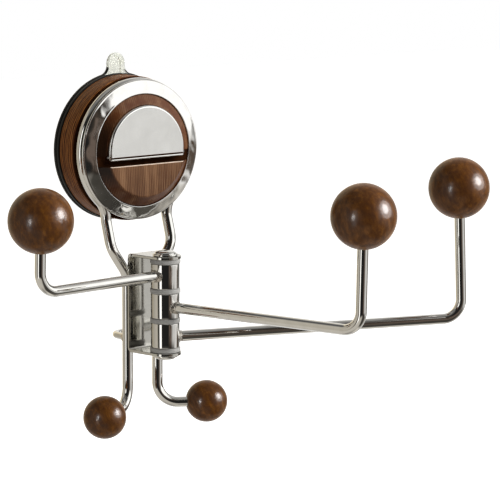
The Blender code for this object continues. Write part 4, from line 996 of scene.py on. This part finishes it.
def make_pivot():
    """Bolt, domed nut and nylon washers of the pivot."""
    shank = [(BOLT_RADIUS, 0.0), (BOLT_RADIUS, -BOLT_LENGTH), (0.0, -BOLT_LENGTH)]
    make_head("bolt", 7.0, shank, pivot_place(BOLT_TOP), "pivot_bolt")
    bore = [(3.2, 0.0), (3.2, 1.6), (0.0, 1.6)]
    make_head("nut", 7.2, bore, at(0.0, PIVOT_DEPTH, NUT_DROP) @ turned(math.pi, "X"), "dome_nut")
    for i in range(4):
        top = STACK_TOP - STACK_STEP * i
        low = top - WASHER
        profile = [(WASHER_RADIUS, top, STACK_ROUND), (WASHER_RADIUS, low, STACK_ROUND), (WASHER_BORE, low),
                   (WASHER_BORE, top)]
        ring = lathe(f"washer_{i + 1}", profile, pivot_place(), 72)
        settle(ring, "root", "nylon", NYLON, f"nylon_washer_{i + 1}")


def make_arms():
    """Three arms: a barrel, a bent rod with its weld, and a walnut ball each."""
    half = BARREL_HEIGHT / 2
    tube = [(BARREL_RADIUS, half, STACK_ROUND), (BARREL_RADIUS, -half, STACK_ROUND),
            (BARREL_BORE, -half, 0.3), (BARREL_BORE, half, 0.3)]
    for index, (name, (reach, stem, heading, lean, offset)) in enumerate(ARMS.items()):
        body = f"arm_{name}"
        middle = STACK_TOP - STACK_STEP * index - WASHER - BARREL_GAP - half
        place = pivot_place(middle, heading)
        settle(lathe(f"tube_{name}", tube, place), body, "chrome", CHROME, f"barrel_{name}")
        rise = Vector((math.tan(math.radians(lean)), 0.0, 1.0)) * stem
        foot = Vector((reach, 0.0, offset))
        centre = foot + rise
        end = centre - rise.normalized() * BALL_SHORT
        path = bent_path([((ARM_START, 0.0, offset), 0.0), (foot, ARM_BEND), (end, 0.0)])
        settle(wire(f"arm_wire_{name}", path, WIRE, place), body, "chrome", CHROME, f"rod_{name}")
        root = place @ along_x(BARREL_RADIUS - 1.1, 0.0, -offset)
        weld_bead(f"weld_{name}", root, WIRE, 4.8, 2.5, index * 7.0, body)
        ball = place @ Matrix.Translation(centre) @ turned(math.radians(lean), "Y") @ turned(math.pi, "X")
        make_ball(f"arm_ball_{name}", ARM_BALL, ball, body, f"ball_{name}", WALNUTS[index])


def dress_hidden_nodes():
    """Better materials for the CAD nodes that stay."""
    kept = {
        "steel": (STEEL_PLAIN, ["housing_screw_1", "housing_screw_2", "housing_screw_3", "hinge_pin_left",
                                "hinge_pin_right", "pull_stud", "guide_pin", "return_spring"]),
        "nylon": (NYLON, ["thrust_washer"]),
        "brass": (BRASS, ["lift_nut"]),
    }
    for slot, (material, names) in kept.items():
        for name in names:
            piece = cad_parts[name]
            for place in piece.material_slots:
                place.material = material


# Studio. A bearing is in degrees, 0 towards the photograph's camera, growing to its right

TOWARDS = Vector((-0.6156, -0.7880, 0.0))
RIGHTWARDS = Vector((0.7880, -0.6156, 0.0))
WARM = (1.0, 0.93, 0.80)
CREAM = (1.0, 0.88, 0.66)
BROWN = (1.0, 0.76, 0.62)
PALE = (1.0, 0.985, 0.96)
GROUND = (1.0, 0.94, 0.84)
CLUTTER = (0.03, 0.025, 0.02, 1.0)
SHADE = (0.03, 0.024, 0.019, 1.0)
MARK = (0.10, 0.074, 0.056, 1.0)
CEILING = (0.30, 0.295, 0.285, 1.0)
STRIP = (1.6, 1.58, 1.54, 1.0)
BOX = (1.27, 1.27, 1.25, 1.0)

# What polished surfaces mirror round the horizon, as (bearing, level, tint)
MIDDLE = [
    (-180, 0.9, PALE), (-162, 0.88, CREAM), (-134, 0.85, CREAM), (-120, 0.42, CREAM), (-100, 0.42, WARM),
    (-84, 0.5, WARM), (-70, 0.54, WARM), (-64, 0.5, WARM), (-57, 0.05, WARM), (-46, 0.018, PALE),
    (28, 0.016, PALE), (34, 0.15, BROWN), (50, 0.17, BROWN), (61, 0.52, PALE), (68, 0.66, PALE),
    (88, 0.66, PALE), (98, 0.85, PALE), (104, 0.95, PALE), (112, 0.95, PALE), (118, 0.70, PALE),
    (124, 0.10, PALE), (138, 0.10, PALE), (147, 0.6, PALE), (162, 0.88, PALE), (180, 0.9, PALE),
]
LOW = [
    (-180, 0.85, PALE), (-150, 0.75, PALE), (-120, 0.5, GROUND), (-90, 0.60, GROUND),
    (0, 0.55, GROUND), (18, 0.52, GROUND), (34, 0.07, WARM), (60, 0.045, WARM), (74, 0.08, WARM),
    (96, 0.09, WARM), (108, 0.52, GROUND), (120, 0.56, GROUND), (128, 0.5, PALE), (160, 0.72, PALE),
    (180, 0.85, PALE),
]
DEEP = [
    (-180, 0.5, PALE), (-114, 0.26, GROUND), (-60, 0.38, GROUND), (0, 0.45, GROUND),
    (40, 0.60, GROUND), (98, 0.80, GROUND), (140, 0.62, GROUND), (180, 0.5, PALE),
]
HIGH = [
    (-180, 0.5, PALE), (-150, 0.35, PALE), (-130, 0.09, PALE), (-100, 0.10, PALE), (-80, 0.26, PALE),
    (-50, 0.16, PALE), (0, 0.10, PALE), (36, 0.06, PALE), (54, 0.08, PALE), (70, 0.22, PALE),
    (96, 0.36, PALE), (118, 0.56, PALE), (150, 0.36, PALE), (180, 0.5, PALE),
]

LAMP_DISTANCE = 1.6
LAMP_TARGET = Vector((0.04, -0.06, -0.03))
FLOOR_DROP = 420.0
FLOOR_HALF = 4000.0
FLOOR_GLOW = 0.74
LENS = 189.517
CAMERA_PLACE = Vector((-846.13, -1207.16, 180.14))
CAMERA_BACK = Vector((-0.6077, -0.7778, 0.1606))
CAMERA_ROLL = 0.25


def studio_colour(tree):
    """Colour of the studio in every direction, as polished surfaces mirror it."""
    direction = node(tree, "TexCoord").outputs["Generated"]

    def along(axis):
        """How far the direction goes along an axis."""
        made = node(tree, "VectorMath", operation="DOT_PRODUCT")
        feed(direction, made.inputs[0])
        feed(axis, made.inputs[1])
        return made.outputs["Value"]

    bearing = maths(tree, "DEGREES", maths(tree, "ARCTAN2", along(RIGHTWARDS), along(TOWARDS)))
    share = maths(tree, "MULTIPLY_ADD", bearing, 1.0 / 360.0, 0.5)
    height = maths(tree, "DEGREES", maths(tree, "ARCSINE", along(UPWARDS)))

    def horizon(stops):
        """Colours round the horizon."""
        return ramp(tree, share, [((degrees + 180.0) / 360.0, tuple(level * c for c in tint))
                                  for degrees, level, tint in stops])

    def patch(low, high, soft, level):
        """A level kept between two bearings."""
        return maths(tree, "MULTIPLY", window(tree, bearing, low, high, soft), level)

    clutter = node(tree, "TexNoise")
    tune(clutter, Vector=direction, Scale=7.0, Detail=3.0)
    darker = patch(28.0, 49.0, 2.0, span(tree, clutter.outputs["Fac"], 0.45, 0.55, 0.75, 0.0))
    under = patch(28.0, 80.0, 3.0, span(tree, height, -21.0, -12.0, 0.9, 0.0))
    over = patch(28.0, 49.0, 2.0, span(tree, height, 12.0, 20.0, 0.0, 0.85))
    mark = patch(105.0, 124.0, 2.5, window(tree, height, -18.0, -6.0, 1.5))
    strip = patch(-44.0, -28.0, 1.5, window(tree, height, -26.0, 26.0, 4.0))
    box = patch(48.0, 118.0, 2.5, window(tree, height, -1.0, 37.0, 3.0))
    seen = horizon(MIDDLE)
    for factor, colour in (
        (darker, CLUTTER),
        (maths(tree, "MAXIMUM", under, over), SHADE),
        (mark, MARK),
        (span(tree, height, -28.0, -18.0, 1.0, 0.0), horizon(LOW)),
        (span(tree, height, 38.0, 50.0, 0.0, 1.0), horizon(HIGH)),
        (span(tree, height, 58.0, 72.0, 0.0, 1.0), CEILING),
        (span(tree, height, -72.0, -57.0, 1.0, 0.0), horizon(DEEP)),
        (strip, STRIP),
        (box, BOX),
    ):
        seen = mix_colour(tree, factor, seen, colour)
    return seen


def seen_directly(tree, rays):
    """1 for a ray from the camera or through something clear."""
    return maths(tree, "MAXIMUM", rays.outputs["Is Camera Ray"], rays.outputs["Is Transmission Ray"])


def make_world():
    """White background, soft even light, and the studio that polished surfaces mirror."""
    world = bpy.data.worlds.new("studio")
    bpy.context.scene.world = world
    world.use_nodes = True
    tree = world.node_tree
    tree.nodes.clear()
    room = node(tree, "Background")
    tune(room, Color=studio_colour(tree))
    white = node(tree, "Background")
    tune(white, Color=(1.0, 1.0, 1.0, 1.0))
    direct = seen_directly(tree, node(tree, "LightPath"))
    surface = mix_shaders(tree, direct, room.outputs[0], white.outputs[0])
    tune(node(tree, "OutputWorld"), Surface=surface)


def make_softbox(name, bearing, height, width, tall, level, mirrored=None):
    """A softbox at a bearing and height in degrees, as wide and tall as it looks from the rack.

    It gives soft light, or with a collection only the highlights on the pieces in it.
    """
    data = bpy.data.lights.new(name, "AREA")
    data.shape = "ELLIPSE" if mirrored else "RECTANGLE"
    data.size = 2 * LAMP_DISTANCE * math.tan(math.radians(width) / 2)
    data.size_y = 2 * LAMP_DISTANCE * math.tan(math.radians(tall) / 2)
    data.energy = level * math.pi * data.size * data.size_y
    lamp = bpy.data.objects.new(name, data)
    bpy.context.scene.collection.objects.link(lamp)
    a, e = math.radians(bearing), math.radians(height)
    level_away = TOWARDS * math.cos(a) + RIGHTWARDS * math.sin(a)
    away = level_away * math.cos(e) + UPWARDS * math.sin(e)
    lamp.location = LAMP_TARGET + away * LAMP_DISTANCE
    lamp.rotation_euler = away.to_track_quat("Z", "Y").to_euler()
    lamp.visible_glossy = mirrored is not None
    lamp.visible_diffuse = mirrored is None
    lamp.light_linking.receiver_collection = mirrored


def make_lamps():
    """A softbox on the right, a slim one on the left, and the highlights that lacquer shows of them.

    Metal mirrors the world's softboxes, near the same places at a level that doesn't clip.
    """
    lacquered = bpy.data.collections.new("lacquered")
    for piece in LACQUERED:
        lacquered.objects.link(piece)
    make_softbox("softbox", 86.0, 36.0, 46.0, 33.0, 11.5)
    make_softbox("strip", -34.5, 3.0, 11.0, 26.0, 4.0)
    make_softbox("softbox_highlight", 82.0, 20.0, 25.0, 24.0, 26.0, lacquered)
    make_softbox("softbox_halo", 84.0, 18.0, 50.0, 44.0, 7.0, lacquered)
    make_softbox("strip_highlight", -34.5, 3.0, 7.0, 18.0, 125.0, lacquered)


def make_floor():
    """Pale floor well below the rack, white to the camera where no shadow falls on it."""
    work = bmesh.new()
    bmesh.ops.create_grid(work, x_segments=1, y_segments=1, size=FLOOR_HALF)
    floor = new_object("floor", work, at(0.0, 0.0, FLOOR_DROP))
    material, tree, shader = tree_of("floor_pale")
    tree.nodes.remove(shader)
    plain = node(tree, "BsdfDiffuse")
    tune(plain, Color=(0.80, 0.80, 0.80, 1.0))
    rays = node(tree, "LightPath")
    glow = node(tree, "Emission")
    tune(glow, Strength=maths(tree, "MULTIPLY", seen_directly(tree, rays), FLOOR_GLOW))
    both = node(tree, "AddShader")
    for source, target in zip((plain, glow), both.inputs):
        feed(source.outputs[0], target)
    through = node(tree, "BsdfTransparent")
    surface = mix_shaders(tree, rays.outputs["Is Glossy Ray"], both.outputs[0], through.outputs[0])
    tune(tree.nodes["Material Output"], Surface=surface)
    floor.data.materials.append(material)


def make_camera():
    """Camera at the photograph's viewing angle."""
    data = bpy.data.cameras.new("camera")
    data.lens = LENS
    data.sensor_width = 36.0
    data.clip_start, data.clip_end = 0.05, 20.0
    camera = bpy.data.objects.new("camera", data)
    bpy.context.scene.collection.objects.link(camera)
    back = CAMERA_BACK.normalized()
    right = Vector((-back.y, back.x, 0.0)).normalized()
    up = back.cross(right)
    roll = math.radians(CAMERA_ROLL)
    across = right * math.cos(roll) + up * math.sin(roll)
    upward = up * math.cos(roll) - right * math.sin(roll)
    place = Matrix((across, upward, back)).transposed().to_4x4()
    place.translation = CAMERA_PLACE * MM
    camera.matrix_world = place
    bpy.context.scene.camera = camera


make_camera()
make_world()
make_floor()
make_pad()
make_backing()
make_drum()
make_bezel()
make_knob()
make_grip()
make_frame()
make_feet()
make_bracket()
make_pivot()
make_arms()
dress_hidden_nodes()
make_lamps()

bpy.context.scene.view_settings.view_transform = "Standard"
